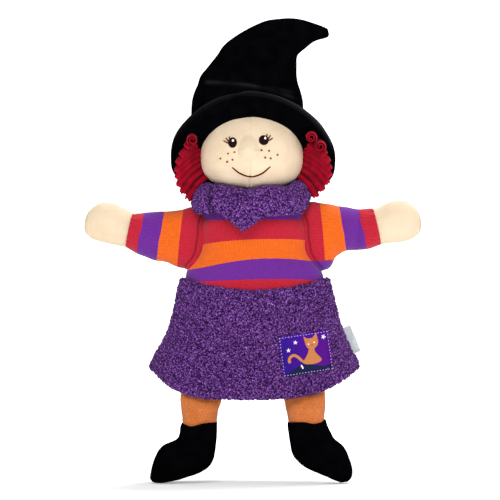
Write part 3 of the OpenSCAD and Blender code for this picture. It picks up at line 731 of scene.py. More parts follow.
f_rows = np.linspace(-75, 80, 80)[:, None]
u_cols = np.linspace(98.4, 261.6, 90)[None, :]
nape = head_points(f_rows, u_cols)
nape = nape - outward(nape, False, HEAD) * FACE_CLOTH / 2
piece = sewn("hood", nape, FACE_CLOTH, VELOUR, centre=HEAD, front=0.5 * swell(nape, 30, 8))
dress(piece, ["head_back"], "head")


def on_face(x, z, lift):
    """Points on the face at (x, z), lifted towards the front."""
    return grid(x, face_y(x, z) - lift, z)


def dome(x, z, half_x, half_z, tall, sunk=0.5, rings=9, around=36):
    """Rings of a low oval dome on the face at (x, z), round like a ball's top, with its foot sunk in."""
    r = np.linspace(1, 0.08, rings)[:, None]
    a = turn_round(around)
    px, pz = x + half_x * r * np.cos(a), z + half_z * r * np.sin(a)
    top = on_face(px, pz, tall * np.sqrt(1 - r**2 + 0.02))
    root = on_face(px[:1], pz[:1], -sunk)
    return np.concatenate([root, top])


def cord_rings(path, radius, around=10):
    """Rings of a round cord along a path, each square to the path's own direction."""
    path = np.asarray(path, float)
    radius = np.broadcast_to(radius, len(path))
    t = np.gradient(path, axis=0)
    t /= np.linalg.norm(t, axis=1, keepdims=True)
    side = np.cross(t, np.array([0.0, 1.0, 0.02]))
    side /= np.linalg.norm(side, axis=1, keepdims=True)
    up = np.cross(side, t)
    a = turn_round(around)[..., None]
    return path[:, None] + radius[:, None, None] * (side[:, None] * np.cos(a) + up[:, None] * np.sin(a))


def together(name, forms, finish):
    """Several closed forms made into one piece, one after another."""
    made = [stuffed(f"{name}_{i}", form, finish) for i, form in enumerate(forms)]
    data = []
    for piece in made:
        mesh = piece.data
        co = np.empty(len(mesh.vertices) * 3)
        mesh.vertices.foreach_get("co", co)
        loops = np.empty(len(mesh.loops), int)
        mesh.loops.foreach_get("vertex_index", loops)
        totals = np.empty(len(mesh.polygons), int)
        mesh.polygons.foreach_get("loop_total", totals)
        data.append((co.reshape(-1, 3), loops, totals))
        bpy.data.objects.remove(piece)
        bpy.data.meshes.remove(mesh)
    shift = np.cumsum([0] + [len(d[0]) for d in data[:-1]])
    points = np.concatenate([d[0] for d in data]) / MM
    loops = np.concatenate([d[1] + s for d, s in zip(data, shift)])
    totals = np.concatenate([d[2] for d in data])
    first = np.cumsum(totals) - totals
    faces = [loops[first[totals == k][:, None] + np.arange(k)] for k in (3, 4) if (totals == k).any()]
    return add_mesh(name, points, faces, points[:, [0, 2]] * MM, faces, {}, finish)


EYES = {"left": (-16.2, 5.0, 3.5, 4.2), "right": (8.5, 6.9, 3.95, 4.0)}   # place, half width and height
EYE_LIGHT = {"left": 0.3, "right": 1.2}   # how far the glint sits from the eye's middle
for side, (x, z, half_x, half_z) in EYES.items():
    out = SIDES[side]
    z = HEAD[2] + z
    eye = stuffed(f"eye_thread_{side}", dome(x, z, half_x, half_z, 0.9), THREAD)
    lashes = []
    for a0, reach in ((12, 7.6), (34, 7.4), (56, 6.6)):
        s = np.linspace(0, 1, 14)
        a = np.radians(a0 + 10 * s)
        r = 2.8 + (reach - 2.8) * s
        px, pz = x + out * r * np.cos(a), z + r * np.sin(a) - 1.2
        lashes.append(cord_rings(on_face(px, pz, 0.35), 0.64 - 0.26 * s, 8))
    lash_piece = together(f"lashes_{side}", lashes, LASH)
    light = dome(x + EYE_LIGHT[side], z + 1.6, 1.15, 1.35, 1.25, 0.2)
    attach(stuffed(f"eye_light_{side}", light, STAR), "head")
    dress(eye, [f"eye_{side}"], "head")
    dress(lash_piece, body="head")

FRECKLES = [(-14.7, -2.6), (-19.8, -3.7), (-25.9, -7.5), (-16.3, -8.6), (-20.5, -10.2),
            (6.7, -1.1), (12.7, -1.6), (19.4, -4.7), (9.6, -6.9), (14.0, -7.5)]
knots = [dome(x, HEAD[2] + z, 0.85, 0.85, 0.35, 0.3, 4, 14) for x, z in FRECKLES]
dress(together("freckle_knots", knots, FRECKLE), ["freckles"], "head")

smile = keyed([[0, -16.5, -14.8], [1, -9.9, -19.6], [2, -1.6, -21.9], [3, 6.7, -19.7], [4, 13.8, -14.0]],
              np.linspace(0, 4, 90))
path = on_face(smile[:, 0], HEAD[2] + smile[:, 1], 0.15)
thickness = 0.72 * (0.35 + 0.65 * np.sin(np.linspace(0.12, np.pi - 0.12, 90)) ** 0.5)
piece = stuffed("smile_cord", cord_rings(path, thickness, 12), MOUTH)
dress(piece, ["mouth"], "head")


# ---------- the hat: crown with its bent tip, and the turned-up brim ----------
def hood_edge(u):
    """Where hat and face meet, round from the front: half a tilted ring at the brow, and half at the nape."""
    c, s = np.cos(u), np.sin(u)
    front = c > 0
    return grid(HEAD_X + 42.2 * s, np.where(front, -24.6 * c, -40.5 * c) - 0.2,
                HEAD_MID - 0.4 + np.where(front, 32.0 * c, 20.0 * c * (1 + 0.3 * c)))


HAT = [  # left x, left z, right x, right z, half depth, middle y, forward rise
    (-49.6, 13, 45.4, 13, 40.5, 6.0, 24), (-49.6, 27, 41.0, 27, 39.5, 5.0, 10),
    (-48.8, 40, 39.4, 40, 38.5, 3.5, 3), (-47.2, 47, 37.8, 46.5, 37.5, 3, 0),
    (-44.8, 53, 36.2, 53, 36.5, 3, 0), (-42.2, 59.5, 35.3, 59, 35.5, 2.5, 0),
    (-37.6, 65.6, 35.1, 65, 34, 2.5, 0), (-33, 72, 35.4, 70.6, 32, 2, 0),
    (-28, 77.6, 36.6, 74.6, 30, 1.5, 0), (-24, 82.4, 37.9, 77.6, 27.5, 1, 0),
    (-17, 88.2, 39.6, 80.2, 24.5, 1, 0), (-8, 94.6, 42.2, 82.6, 21.5, 0.5, 0),
    (1, 99.7, 44.9, 84.7, 18.5, 0.5, 0), (12.6, 103.8, 48.6, 86.8, 15.5, 0, 0),
    (26, 105, 52.6, 88.2, 12, 0, 0), (39, 104, 56, 89, 9, 0, 0), (48, 101.6, 58.4, 89.8, 6.6, 0, 0),
    (55, 99.2, 60, 90.8, 4.8, 0, 0), (59.6, 97.0, 60.7, 92.6, 2.6, 0, 0)]
u = turn_round(150)[0]
rings = [hood_edge(u)]
for lx, lz, rx, rz, deep, y, rise in HAT:
    s, c = np.sin(u), np.cos(u)
    left, right = np.array([lx, lz]), np.array([rx, rz])
    mid, half = (left + right) / 2, (right - left) / 2
    rings.append(grid(mid[0] + half[0] * s, y - deep * c, HEAD[2] + mid[1] + half[1] * s + rise * c))
crown = spread(rings, 200)
n = outward(crown, True, HEAD + np.array([0, 0, 40]))
level = crown[..., 2] - HEAD[2]
across = crown[..., 0]
front = step(6, -10, crown[..., 1])
# Two ridges cross the front just above the brim, with a dip under them, and a crease marks the bend.
upper = hump(level - 50.2 + 0.13 * across + 0.0012 * across**2, 1.5) * step(-44, -34, across)
upper = upper * step(36, 24, across) * front
lower = hump(level - 48.6 + 0.27 * (across - 5), 1.3) * step(-4, 6, across) * step(38, 28, across) * front
folds = 1.3 * upper + 1.0 * lower - 0.9 * hump(level - 46.5 + 0.13 * across, 2.2) * front
folds = folds - 1.5 * hump(level - 75, 4) * step(18, 34, across)
calm = step(28, 44, level)
crown = crown + n * (folds + calm * (1.0 * swell(crown, 42, 11) + 0.4 * swell(crown, 16, 12)))[..., None]
# crest is a painted highlight along the two fold ridges above the brim, broken into patches.
highlight_patches = np.clip(0.5 + 0.8 * swell(crown, 26, 13), 0.1, 1)
crest = np.clip((0.3 * upper + 0.42 * lower) * highlight_patches, 0, 1)
piece = stuffed("hat", crown, VELOUR, attributes={"crest": crest})
dress(piece, ["hat_crown", "hat_stuffing", "hat_tip", "hat_tip_stuffing"])
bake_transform(piece)


def brim_edge(u):
    """The brim's outer edge: it stands up over the brow, and droops behind the cheeks and at the nape."""
    c, s = np.cos(u), np.sin(u)
    front = c > 0
    x = 65.3 * np.where(front, power(s, 1.13), power(s, 2 / 3))
    nape = 1 - 0.17 * step(0.75, 1, -c)
    z = np.where(front, 52.4 * power(c, 1.06), 26 * nape * power(c, 2 / 3)) - 8 - 0.028 * x + 0.8
    return grid(x, 6 - np.where(front, 40 * c, 36 * c), HEAD[2] + z)


u = turn_round(220)[0]
t = np.linspace(0, 1, 26)[:, None, None]
root, edge = hood_edge(u)[None], brim_edge(u)[None]
brim = root + (edge - root) * t
inside = HEAD + np.array([0, 20, 30])
n = outward(brim, True, inside)
t = t[..., 0]
bow = np.sin(np.pi * t) * (2.2 + 1.2 * np.cos(3 * u)[None])
brim = brim + n * bow[..., None]
hem = -0.45 * hump(t - 0.86, 0.03) + 0.35 * hump(t - 0.95, 0.04)
brow = step(0.1, 0.5, np.cos(u))[None]
rim_light = brow * (0.5 * hump(t - 1.0, 0.035) + 0.16 * hump(t - 0.9, 0.03))
rim_light = np.clip(rim_light * (0.7 + 0.5 * np.sin(u)[None]), 0, 1)
piece = sewn("brim", brim, 2.4, VELOUR, wrap=True, centre=inside, front=hem + 0.5 * swell(brim, 24, 14),
             back=0.4 * swell(brim, 24, 15), attributes={"crest": rim_light})
dress(piece, ["hat_brim"], "head")
declare_sheet(brim, wrap=True)


# ---------- the hair: strips of jersey, rolled lengthways, that fan out beside each cheek ----------
# Each row: root level, end x, end level, end y, how far the strip rolls up (turns), and its radius.
HAIR_STRIPS = {
    "left": [(13, 48.2, 7.2, -23, 1.6, 4.3), (10.5, 53.2, 1.5, -17, 0.9, 3.3),
             (6.5, 57.4, -5.0, -16, 0.6, 3.2), (2.5, 60.0, -11.5, -15, 0.56, 3.2),
             (-1.5, 61.2, -17.5, -14, 0.55, 3.2), (-6, 60.8, -23.2, -13, 0.52, 3.2),
             (-10.5, 59.4, -29, -12, 0.5, 3.2), (-15, 56.4, -34.5, -11, 0.5, 3.2),
             (-20, 51.8, -39.8, -9, 0.48, 3.2)],
    "right": [(15, 46.1, 9.2, -25, 1.9, 4.6), (11, 53.3, 2.0, -24, 1.7, 4.4),
              (7.5, 57.6, -4.4, -17, 0.75, 3.3), (3.5, 60.4, -10.2, -16, 0.6, 3.2),
              (-0.5, 61.6, -16, -15, 0.56, 3.2), (-5, 61.4, -21.6, -14, 0.54, 3.2),
              (-9.5, 59.2, -27.2, -13, 0.52, 3.2), (-14, 55.6, -32.6, -11, 0.5, 3.2),
              (-19, 50.4, -37.4, -9, 0.48, 3.2)]}


def hair_path(out, root_z, end_x, end_z, end_y, turns, count=30):
    """The middle line of a strip, from inside the head's edge; a rolled one turns to the front at its end."""
    s = np.linspace(0, 1, count)
    head_half = HEAD_HALF * level_share(HEAD[2] + root_z)
    root = np.array([HEAD_X * out + head_half - 3.0, -2.5, HEAD[2] + root_z])
    run = np.array([end_x, end_y, HEAD[2] + end_z]) - root
    rolled = turns > 1
    ahead = s**2.6 if rolled else s
    reach = np.sin(s * np.pi / 2) if rolled else s
    path = root + run * np.stack([reach, ahead, reach], axis=1)
    path += np.sin(np.pi * s)[:, None] * np.array([1.0, 0, 2.0])
    return s, path


def hair_strip(out, i, strip, seed):
    """One strip: a profile carried along a curve from the cheek to the fan's edge.

    The profile is a short straight flap behind, then a roll whose radius shrinks as it turns.
    """
    turns, radius = strip[4:]
    s, path = hair_path(out, *strip[:5])
    t = np.gradient(path, axis=0)
    if turns <= 1:
        t[:, 1] = 0
    t /= np.linalg.norm(t, axis=1, keepdims=True)
    up = np.stack([-t[:, 2], 0 * s, t[:, 0]], axis=1)
    up /= np.maximum(np.linalg.norm(up, axis=1, keepdims=True), 1e-6)
    fore = np.cross(t, up)
    fore *= np.sign(-fore[:, 1:2] + 1e-6)
    w = np.linspace(0, 1, 44)
    flap = 0.16
    k = np.clip((w - flap) / (1 - flap), 0, 1)
    r = radius * (1 - 0.74 * k * step(0.7, 1.3, turns))
    a = np.pi / 2 - 2 * np.pi * turns * k
    q = np.where(w < flap, -2.0 * (1 - w / flap), r * np.cos(a))
    h = np.where(w < flap, radius, r * np.sin(a))
    blunt = 0.6 if turns <= 1 else 0.1
    widen = ((0.5 + 0.5 * s**0.7) * np.sqrt(1 - blunt * np.clip((s - 0.84) / 0.16, 0, 1) ** 2))[:, None]
    p = path[:, None] + fore[:, None] * (q[None] * widen)[..., None]
    p = p + up[:, None] * (h[None] * widen)[..., None]
    nicks = np.random.default_rng(seed).uniform(-1, 1, 9)
    ragged = keyed(np.column_stack([np.linspace(0, 1, 9), nicks]), w)[:, 0] * (0.15 if i < 6 else 0.8)
    p = p + t[:, None] * (s[:, None] ** 6 * ragged[None])[..., None]
    p = p + 0.3 * swell(p, 12, seed)[..., None] * up[:, None]
    p[..., 0] *= out
    return p


for side, strips in HAIR_STRIPS.items():
    out = SIDES[side]
    fan = np.array([hair_path(out, *strip[:5], 20)[1] for strip in strips])
    fan[:, :, :] = fan[:, :1] + (fan - fan[:, :1]) * 0.93
    fan[:, :, 1] = -2.5 - 6.0 * np.linspace(0, 1, 20)
    fan[0, :, 2] += 1.5
    fan = spread(fan, 50)
    fan[:, :, 1] += 0.8 * np.sin(np.arange(50) * 1.15)[:, None] * np.linspace(0, 1, 20)
    fan[..., 0] *= out
    # A dark sheet behind the strips: painted shade that fills the gaps between them, its strip value low so it
    # shows dark.
    shade_sheet = sewn(f"hair_shade_sheet_{side}", fan, THIN_CLOTH, HAIR,
                   centre=fan.mean((0, 1)) + np.array([0, 30, 0]),
                   attributes={"strip": np.full(fan.shape[:2], 0.1)})
    dress(shade_sheet, [f"hair_{side}"], "head")
    declare_sheet(fan)
    for i, strip in enumerate(strips):
        p = hair_strip(out, i, strip, 40 + i + 20 * out)
        w = np.linspace(0, 1, p.shape[1])
        # Painted shade in the valleys between strips, deeper on rolled strips, and a painted highlight on the
        # last two rows at each strip's end.
        shade = 0.85 * np.clip(np.cos(np.pi * (w - 0.56) / 0.84), 0, 1) ** 2.2
        shade = np.tile(shade[None], (p.shape[0], 1))
        if strip[4] > 1:
            shade = 0.3 + 0.5 * shade
        shade[-2:] = 1.0
        piece = sewn(f"hair_strip_{side}_{i + 1}", p, THIN_CLOTH, HAIR,
                     centre=p.mean((0, 1)) + np.array([0, 3, 0]), attributes={"strip": shade})
        dress(piece, body="head")
        declare_sheet(p)


# ---------- the shirt ----------
REPEAT = 47.4                # one violet, one red and one orange stripe
FIRST_STRIPE = 62.8          # height above the waist where the stripes are counted from
SHIRT = [  # height above the waist, half width, half depth, shift of the middle
    (-13, 54.5, 27.6, 1.4), (-3, 54.6, 27.4, 1.4), (2, 54.0, 27.0, 1.3), (9, 51.4, 26.4, 1.0),
    (18, 46.4, 25.6, 0.5), (33, 43.6, 25.0, 0.2), (48, 42.0, 23.8, 0), (56, 36.5, 20.5, 0),
    (60, 28.0, 17.5, 0), (62.2, 19.5, 16.6, 0)]


def shirt_surface(z, u):
    """The shirt round the body: an oval at each height, a little squared, with soft wrinkles."""
    a, b, x = columns(SHIRT, z)
    return grid(x + a * power(np.sin(u), 0.92), -b * power(np.cos(u), 0.92), WAIST + z)


def shirt_stripe(p):
    """Where the stripes lie on the shirt: level at the neck, and bowed down at the sides lower down."""
    x, z = p[..., 0] / 49, p[..., 2]
    bow = keyed([[-16, 0.2], [0, 0.35], [11, 1.1], [24, 0.75], [53, 0.0], [66, 0.0]], z - WAIST)[..., 0]
    return (WAIST + FIRST_STRIPE - z - bow * (5.3 * x**2 - 3.5 * x)) / REPEAT


for name, mid, seed in (("shirt_front", 0, 21), ("shirt_back", np.pi, 22)):
    z = np.linspace(SHIRT[0][0], SHIRT[-1][0], 110)[:, None]
    u = mid + np.linspace(-np.pi / 2 + 0.006, np.pi / 2 - 0.006, 150)[None, :]
    p = shirt_surface(z, u)
    chest = np.array([0, 0, WAIST + 20])
    n = outward(p, False, chest)
    sides = np.abs(np.sin(u)) ** 3
    folds = 0.7 * swell(p * np.array([1, 1, 0.55]), 22, seed)
    folds = folds + 0.8 * np.sin(z * 0.30 + np.abs(p[..., 0]) * 0.24) * sides
    gather = 0.4 * np.sin(u * 58 + 2 * np.sin(u * 7)) * step(2, -8, z)
    p = p + n * (folds + gather)[..., None]
    piece = sewn(f"{name}_panel", p - n * SHIRT_CLOTH / 2, SHIRT_CLOTH, STRIPES, centre=chest,
                 attributes={"stripe": shirt_stripe(p)})
    dress(piece, [name], "torso")
    declare_sheet(p)


# ---------- the sleeves and the stuffed hands ----------
SLEEVES = {  # distance from the middle, top and bottom level, half depth
    "left": [(30, 147.0, 106, 7), (38, 151.2, 104, 9.5), (46, 153.5, 103.6, 13.2),
             (53, 153.8, 105.4, 14.3), (63, 152.1, 109.8, 14), (78, 150.8, 112.8, 13),
             (90, 149.8, 117.6, 12), (99, 149.4, 122.6, 11)],
    "right": [(30, 152.0, 107, 7), (38, 156.7, 103, 9.5), (46, 158.4, 102.4, 13.2),
              (53, 158.6, 103.4, 14.3), (57, 158.0, 107.0, 14.3), (60.5, 157.4, 113.6, 14.2),
              (65.5, 156.7, 117.0, 14), (76, 154.8, 119.3, 13), (88, 153.0, 120.8, 12),
              (99, 152.6, 124.1, 11)]}
HANDS = {  # distance from the middle, middle level, half height, half depth
    "left": [(86, 136.0, 11.0, 7.5), (92, 136.0, 12.4, 8.4), (98, 136.4, 13.4, 9.0),
             (104, 138.2, 14.9, 9.8), (110, 140.3, 15.9, 10.2), (117, 141.6, 15.9, 10),
             (124, 142.2, 14.4, 9), (130, 141.6, 10.8, 6.8), (133.4, 140.9, 6.4, 4),
             (134.7, 140.5, 2.4, 1.6)],
    "right": [(86, 138.0, 11.6, 7.5), (92, 138.3, 13.0, 8.4), (98, 138.9, 14.2, 9.0),
              (104, 140.2, 15.2, 9.8), (110, 142.0, 16.2, 10.2), (117, 142.9, 16.5, 10),
              (124.6, 143.2, 14.7, 9), (130, 142.4, 10.9, 6.8), (133.5, 141.6, 6.3, 4),
              (134.6, 141.2, 2.4, 1.6)]}
SLANT = 0.22                 # how far the cuff leans towards the body, for each millimetre of height
DRAWN_SHOULDER = 129.48      # the shoulder's level that the rows above are for
STRIPE_AHEAD = {"left": 13.1, "right": 15.4}   # how far into a repeat each sleeve starts
WRIST, FINGERTIP = 86, 134.7

for side, out in SIDES.items():
    shoulder, wrist = JOINT[f"arm_{side}_raise"], JOINT[f"hand_{side}_fold"]
    lift = shoulder[2] - DRAWN_SHOULDER
    x = np.linspace(30, 99, 100)[:, None]
    top, bottom, deep = columns(SLEEVES[side], x)
    top, bottom = top + lift, bottom + lift
    a = turn_round(120)
    c, s = power(np.cos(a), 0.86), power(np.sin(a), 0.86)
    mid, half = (top + bottom) / 2, (top - bottom) / 2
    lean = SLANT * step(40, 62, x)
    p = grid(out * (x - lean * half * c), -deep * s, mid + half * c)
    axis_point = np.array([out * 70, 0, 132])
    n = outward(p, True, axis_point)
    crumple = 0.55 * swell(p * np.array([1, 1, 0.6]), 15, 31 + out) + 0.5 * swell(p, 30, 35 + out)
    tuck = -1.3 * hump(x - 84 - 0.25 * half * c, 2.2) * step(0.2, 0.9, s) * (out > 0)
    p = p + n * (crumple + tuck)[..., None]
    along = x - abs(shoulder[0]) - 0.03 * half * c
    jog = 0.8 * np.tanh(c * 6) * step(24, 40, along)
    stripe = np.maximum(along + STRIPE_AHEAD[side] - 0.06 * half * c + jog, REPEAT * 0.345) / REPEAT
    gusset = step(112, 111, p[..., 2]) * step(61, 60, x) * (out > 0)
    stripe = np.where(gusset > 0.5, 0.1, stripe)
    body_edge = keyed(SHIRT, p[..., 2] - WAIST)[..., 0]
    # The armhole seam: the cloth is pressed in along it, and the seam attribute paints shade there.
    armhole = hump(x - body_edge - 0.6, 1.1) * step(-16, 8, np.abs(s) * 20)
    cuff = 0.35 * np.sin(a * 17 + np.sin(a * 5)) * step(91, 98, x)
    p = p - n * (0.5 * armhole)[..., None] + n * cuff[..., None]
    piece = sewn(f"striped_sleeve_{side}", p - n * SHIRT_CLOTH / 2, SHIRT_CLOTH, STRIPES, wrap=True,
                 centre=axis_point, attributes={"stripe": stripe, "seam": armhole})
    dress(piece, [f"sleeve_{side}"])
    declare_sheet(p, wrap=True)
    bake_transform(piece)

    x = WRIST + (FINGERTIP - WRIST) * np.sin(np.linspace(0, np.pi / 2, 90))[:, None]
    mid, half, deep = columns(HANDS[side], x)
    mid = mid + lift
    a = turn_round(110)
    c, s = np.cos(a), power(np.sin(a), 0.8)
    p = grid(out * (x - 0.05 * half * c), -deep * s, mid + half * c)
    n = outward(p, True, np.array([out * 112, 0, 140]))
    seam = -0.5 * hump(s, 0.07) + 0.25 * hump(np.abs(s) - 0.17, 0.07)
    p = p + n * (seam + 0.3 * swell(p, 20, 51 + out) + 0.12 * swell(p, 7, 53 + out))[..., None]
    piece = stuffed(f"mitten_{side}", p, HAND)
    dress(piece, [f"hand_{side}", f"hand_stuffing_{side}"])
    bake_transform(piece)


# ---------- the plush: collar and skirt ----------
PITCH = 2.1                  # from one loop of the plush to the next


def plush_piece(name, p, thick, finish, centre, seed, tall=1.25, both=False, dark=0.0):
    """A piece of looped plush: the loops stand on its outer face, and on its inner face too for both."""
    across, along = lengths(p)
    pile, tint = yarn_loops(across, along, PITCH, seed)
    lay = 0.5 + 0.5 * swell(p, 14, seed)
    relief = tall * pile * (0.5 + 0.8 * tint) * (0.85 + 0.3 * lay)
    # dark is painted shade: it is taken off the pile attribute, which the plush material darkens where low.
    return sewn(name, p, thick, finish, centre=centre, front=relief, back=relief if both else None,
                attributes={"pile": np.clip(pile - dark, -1, 1), "tint": tint})


def collar_surface(u, v, drop):
    """The collar: it rises from the neck, rolls over a soft crest and falls to its edge.

    u is the angle round from the front and v runs from the neck to the edge. The crest is lower in front,
    and drop lengthens the edge into a point.
    """
    table = [[0, 20.5, 17.5, -1.5, -1.5], [0.22, 27.5, 21.5, 5.0, 1.5], [0.46, 37.0, 27.5, 9.8, 3.6],
             [0.70, 44.5, 32.2, 4.0, -1.5], [1.0, 47.8, 34.6, -9.0, -12.4]]
    k = keyed(table, v)
    side = np.sin(u) ** 2
    rear = step(0.2, -0.6, np.cos(u))
    z = k[..., 2] * side + k[..., 3] * (1 - side) + 2.0 * rear * np.sin(np.pi * v)
    return grid(-1.6 * v + k[..., 0] * np.sin(u), -k[..., 1] * np.cos(u) - 1.6 * drop * v**3,
                NECK + z - 12.0 * drop * v**3)


def collar_piece(name, u0, u1, lean, count, seed, lift, pointed):
    """One half of the collar between two angles, in degrees; lean is how much earlier it starts at the crest.

    Its corners are rounded by shortening the ends of the edge.
    """
    t = np.linspace(0, 1, count)[None, :]
    v = np.linspace(0, 1, 64)[:, None]
    first = u0 - lean * (1 - v**1.3)
    u = np.radians(first + (u1 - first) * t)
    deg = np.degrees(u)
    drop = np.clip(1 - np.abs(deg + 8) / 21, 0, 1) ** 1.1 if pointed else 0 * u
    if pointed:
        short = 0.05 * np.exp(-t / 0.02) + 0.26 * step(52, 84, deg) * step(130, 95, deg)
    else:
        short = 0.30 * np.exp(-(1 - t) / 0.03) + 0.12 * step(-58, -84, deg) * step(-130, -95, deg)
    p = collar_surface(u, v * (1 - short), drop)
    centre = np.array([0, 0, NECK - 6])
    n = outward(p, False, centre)
    edge = 1.0 - 0.5 * step(0.75, 1, v)
    # crease is painted shade: on the over piece along its first edge, and on the under piece where the over
    # piece's edge lies on it, which is pressed in there too.
    if pointed:
        crease = np.exp(-t / 0.012)
    else:
        crease = hump(deg + 36 + 24 * (1 - v**1.3) + 3, 4.5)
        lift = lift - 1.2 * crease + 1.3 * hump(deg + 56, 13) * step(0.45, 0.8, v)
    p = p + n * (lift * edge + 1.5 * swell(p, 24, seed) * step(0.1, 0.4, v))[..., None]
    thick = 4.6 - 1.6 * step(0.5, 1, v) + 0 * t
    # dark is painted shade in the plush's colour along the crease.
    piece = plush_piece(f"{name}_lobe", p, thick, COLLAR_PLUSH, centre, seed, tall=1.0, both=True,
                        dark=1.1 * crease)
    dress(piece, [name])
    declare_sheet(p)
    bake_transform(piece)


collar_piece("collar_under", -182, -33, 0, 190, 61, 0.4, False)
collar_piece("collar_over", -36, 176, 24, 270, 62, 2.6, True)

SKIRT_WIDE = [[0, 58.2], [0.25, 63.4], [0.5, 68.6], [0.75, 75.3], [0.92, 80.4], [1, 81.6]]
SKIRT_DEEP = [[0, 29.5], [0.3, 32.6], [0.7, 38.0], [1, 41.0]]
HEM = 3.4                    # the hem's level in front
SKIRT_CLOTH = 2.2


def hem_level(u):
    """The hem, low across the front and back and rising to the side corners."""
    return HEM + 22.6 * np.abs(np.sin(u)) ** np.where(np.sin(u) > 0, 3.0, 4.4)


def skirt_surface(u, v):
    """The skirt: ovals that widen from the waist, v = 0, to the hem, v = 1; u is the angle from the front."""
    a, b = keyed(SKIRT_WIDE, v)[..., 0], keyed(SKIRT_DEEP, v)[..., 0]
    dip = np.where(np.cos(u) > 0, 9.5, 4.0) * np.cos(u) ** 2
    top = WAIST - 0.6 - dip
    slim = np.where(np.sin(u) < 0, 3.0, 1.7) * np.sin(np.pi * v**1.2) * np.sin(u) ** 2
    return grid((a - slim) * np.sin(u) + 1.6 - 0.6 * v, -b * np.cos(u), top + (hem_level(u) - top) * v)


for name, mid, seed in (("skirt_front", 0, 71), ("skirt_back", np.pi, 72)):
    u = mid + np.linspace(-np.pi / 2 + 0.004, np.pi / 2 - 0.004, 308)[None, :]
    v = np.linspace(0, 1, 156)[:, None]
    p = skirt_surface(u, v)
    centre = np.array([0, 0, WAIST / 2])
    n = outward(p, False, centre)
    drape = 1.9 * swell(p * np.array([1, 1, 0.35]), 34, seed) * (0.3 + 0.7 * v)
    seam_in = -0.9 * (hump(u - mid + np.pi / 2, 0.02) + hump(np.pi / 2 - u + mid, 0.02))
    p = p + n * (drape + seam_in)[..., None]
    piece = plush_piece(f"{name}_panel", p, SKIRT_CLOTH, PLUSH, centre, seed)
    dress(piece, [name], "torso")
    declare_sheet(p)
    if name == "skirt_front":
        skirt_front = p + n * SKIRT_CLOTH / 2


def skirt_front_y(x, z):
    """The skirt's front surface over places (x, z): the mean of its own points, weighted by closeness."""
    cloth = skirt_front[::3, ::3].reshape(-1, 3)
    d = (x[..., None] - cloth[:, 0]) ** 2 + (z[..., None] - cloth[:, 2]) ** 2
    w = np.exp(-d / 6.0)
    return (w * cloth[:, 1]).sum(-1) / w.sum(-1)


# ---------- the picture patch and the blank label ----------
PATCH = middle("patch") + np.array([0.9, 0, 1.0])
PATCH_HALF = (20.3, 15.9)
PATCH_TURN = math.radians(8)


def patch_points(i, j, lift):
    """Points over the patch, lift in front of the skirt: i and j run from -1 to 1 across it and up it."""
    c, s = math.cos(PATCH_TURN), math.sin(PATCH_TURN)
    x = PATCH[0] + i * PATCH_HALF[0] * c - j * PATCH_HALF[1] * s
    z = PATCH[2] + i * PATCH_HALF[0] * s + j * PATCH_HALF[1] * c
    return grid(x, skirt_front_y(x, z) - lift, z)


i, j = np.meshgrid(np.linspace(-1, 1, 60), np.linspace(-1, 1, 46))
rounded = 1 - 0.035 * (i**2) * (j**2)
wave_i = 0.008 * np.sin(i * 26) * np.abs(j) ** 8
wave_j = 0.008 * np.sin(j * 21 + 1) * np.abs(i) ** 8
edge = np.maximum(np.abs(i), np.abs(j))
puff = 1.5 - 0.6 * step(0.80, 0.93, edge) + 0.35 * step(0.94, 1, edge)
puff = puff + 0.12 * np.sin(i * 19) * np.sin(j * 14)
p = patch_points(i * rounded + wave_j, j * rounded + wave_i, puff)
hill = 0.5 + 6 * (-0.66 + 0.16 * np.sin(i * 3.4 + 2.2) + 0.12 * i - j)
piece = sewn("picture_patch", p, 0.7, SATIN, centre=(PATCH[0], 60, PATCH[2]),
             attributes={"across": (i + 1) / 2, "up": (j + 1) / 2, "hill": np.clip(hill, 0, 1)})
dress(piece, ["patch"], "torso")
declare_sheet(p)


def printed(i_rows, j_rows, lift=2.35, thin=0.7):
    """A flat motif on the patch: rows of points between its two outlines, closed as a thin raised form."""
    i_rows, j_rows = np.asarray(i_rows), np.asarray(j_rows)
    face = patch_points(i_rows, j_rows, lift)
    rear = patch_points(i_rows, j_rows, lift - thin)
    return np.concatenate([face, rear[:, ::-1]], axis=1)


def motif(left, right, across=9):
    """Rows across a motif between its left and right outlines, each a list of (i, j) points."""
    left, right = spread(left, 26), spread(right, 26)
    t = np.linspace(0, 1, across)[None, :]
    return (left[:, :1] + (right[:, :1] - left[:, :1]) * t, left[:, 1:] + (right[:, 1:] - left[:, 1:]) * t)


def tail_rows(points, half):
    """Rows across a ribbon that follows points (i, j), half its width to each side."""
    line = spread(points, 30)
    d = np.gradient(line, axis=0)
    d = d * np.array(PATCH_HALF)
    side = np.stack([-d[:, 1], d[:, 0]], axis=1) / np.linalg.norm(d, axis=1, keepdims=True)
    side = side / np.array(PATCH_HALF)
    half = half * np.sin(np.clip(np.linspace(0.02, 1, 30) * 6, 0, np.pi / 2)) ** 0.5
    t = np.linspace(-1, 1, 5)[None, :, None]
    p = line[:, None] + side[:, None] * half[:, None, None] * t
    return p[..., 0], p[..., 1]


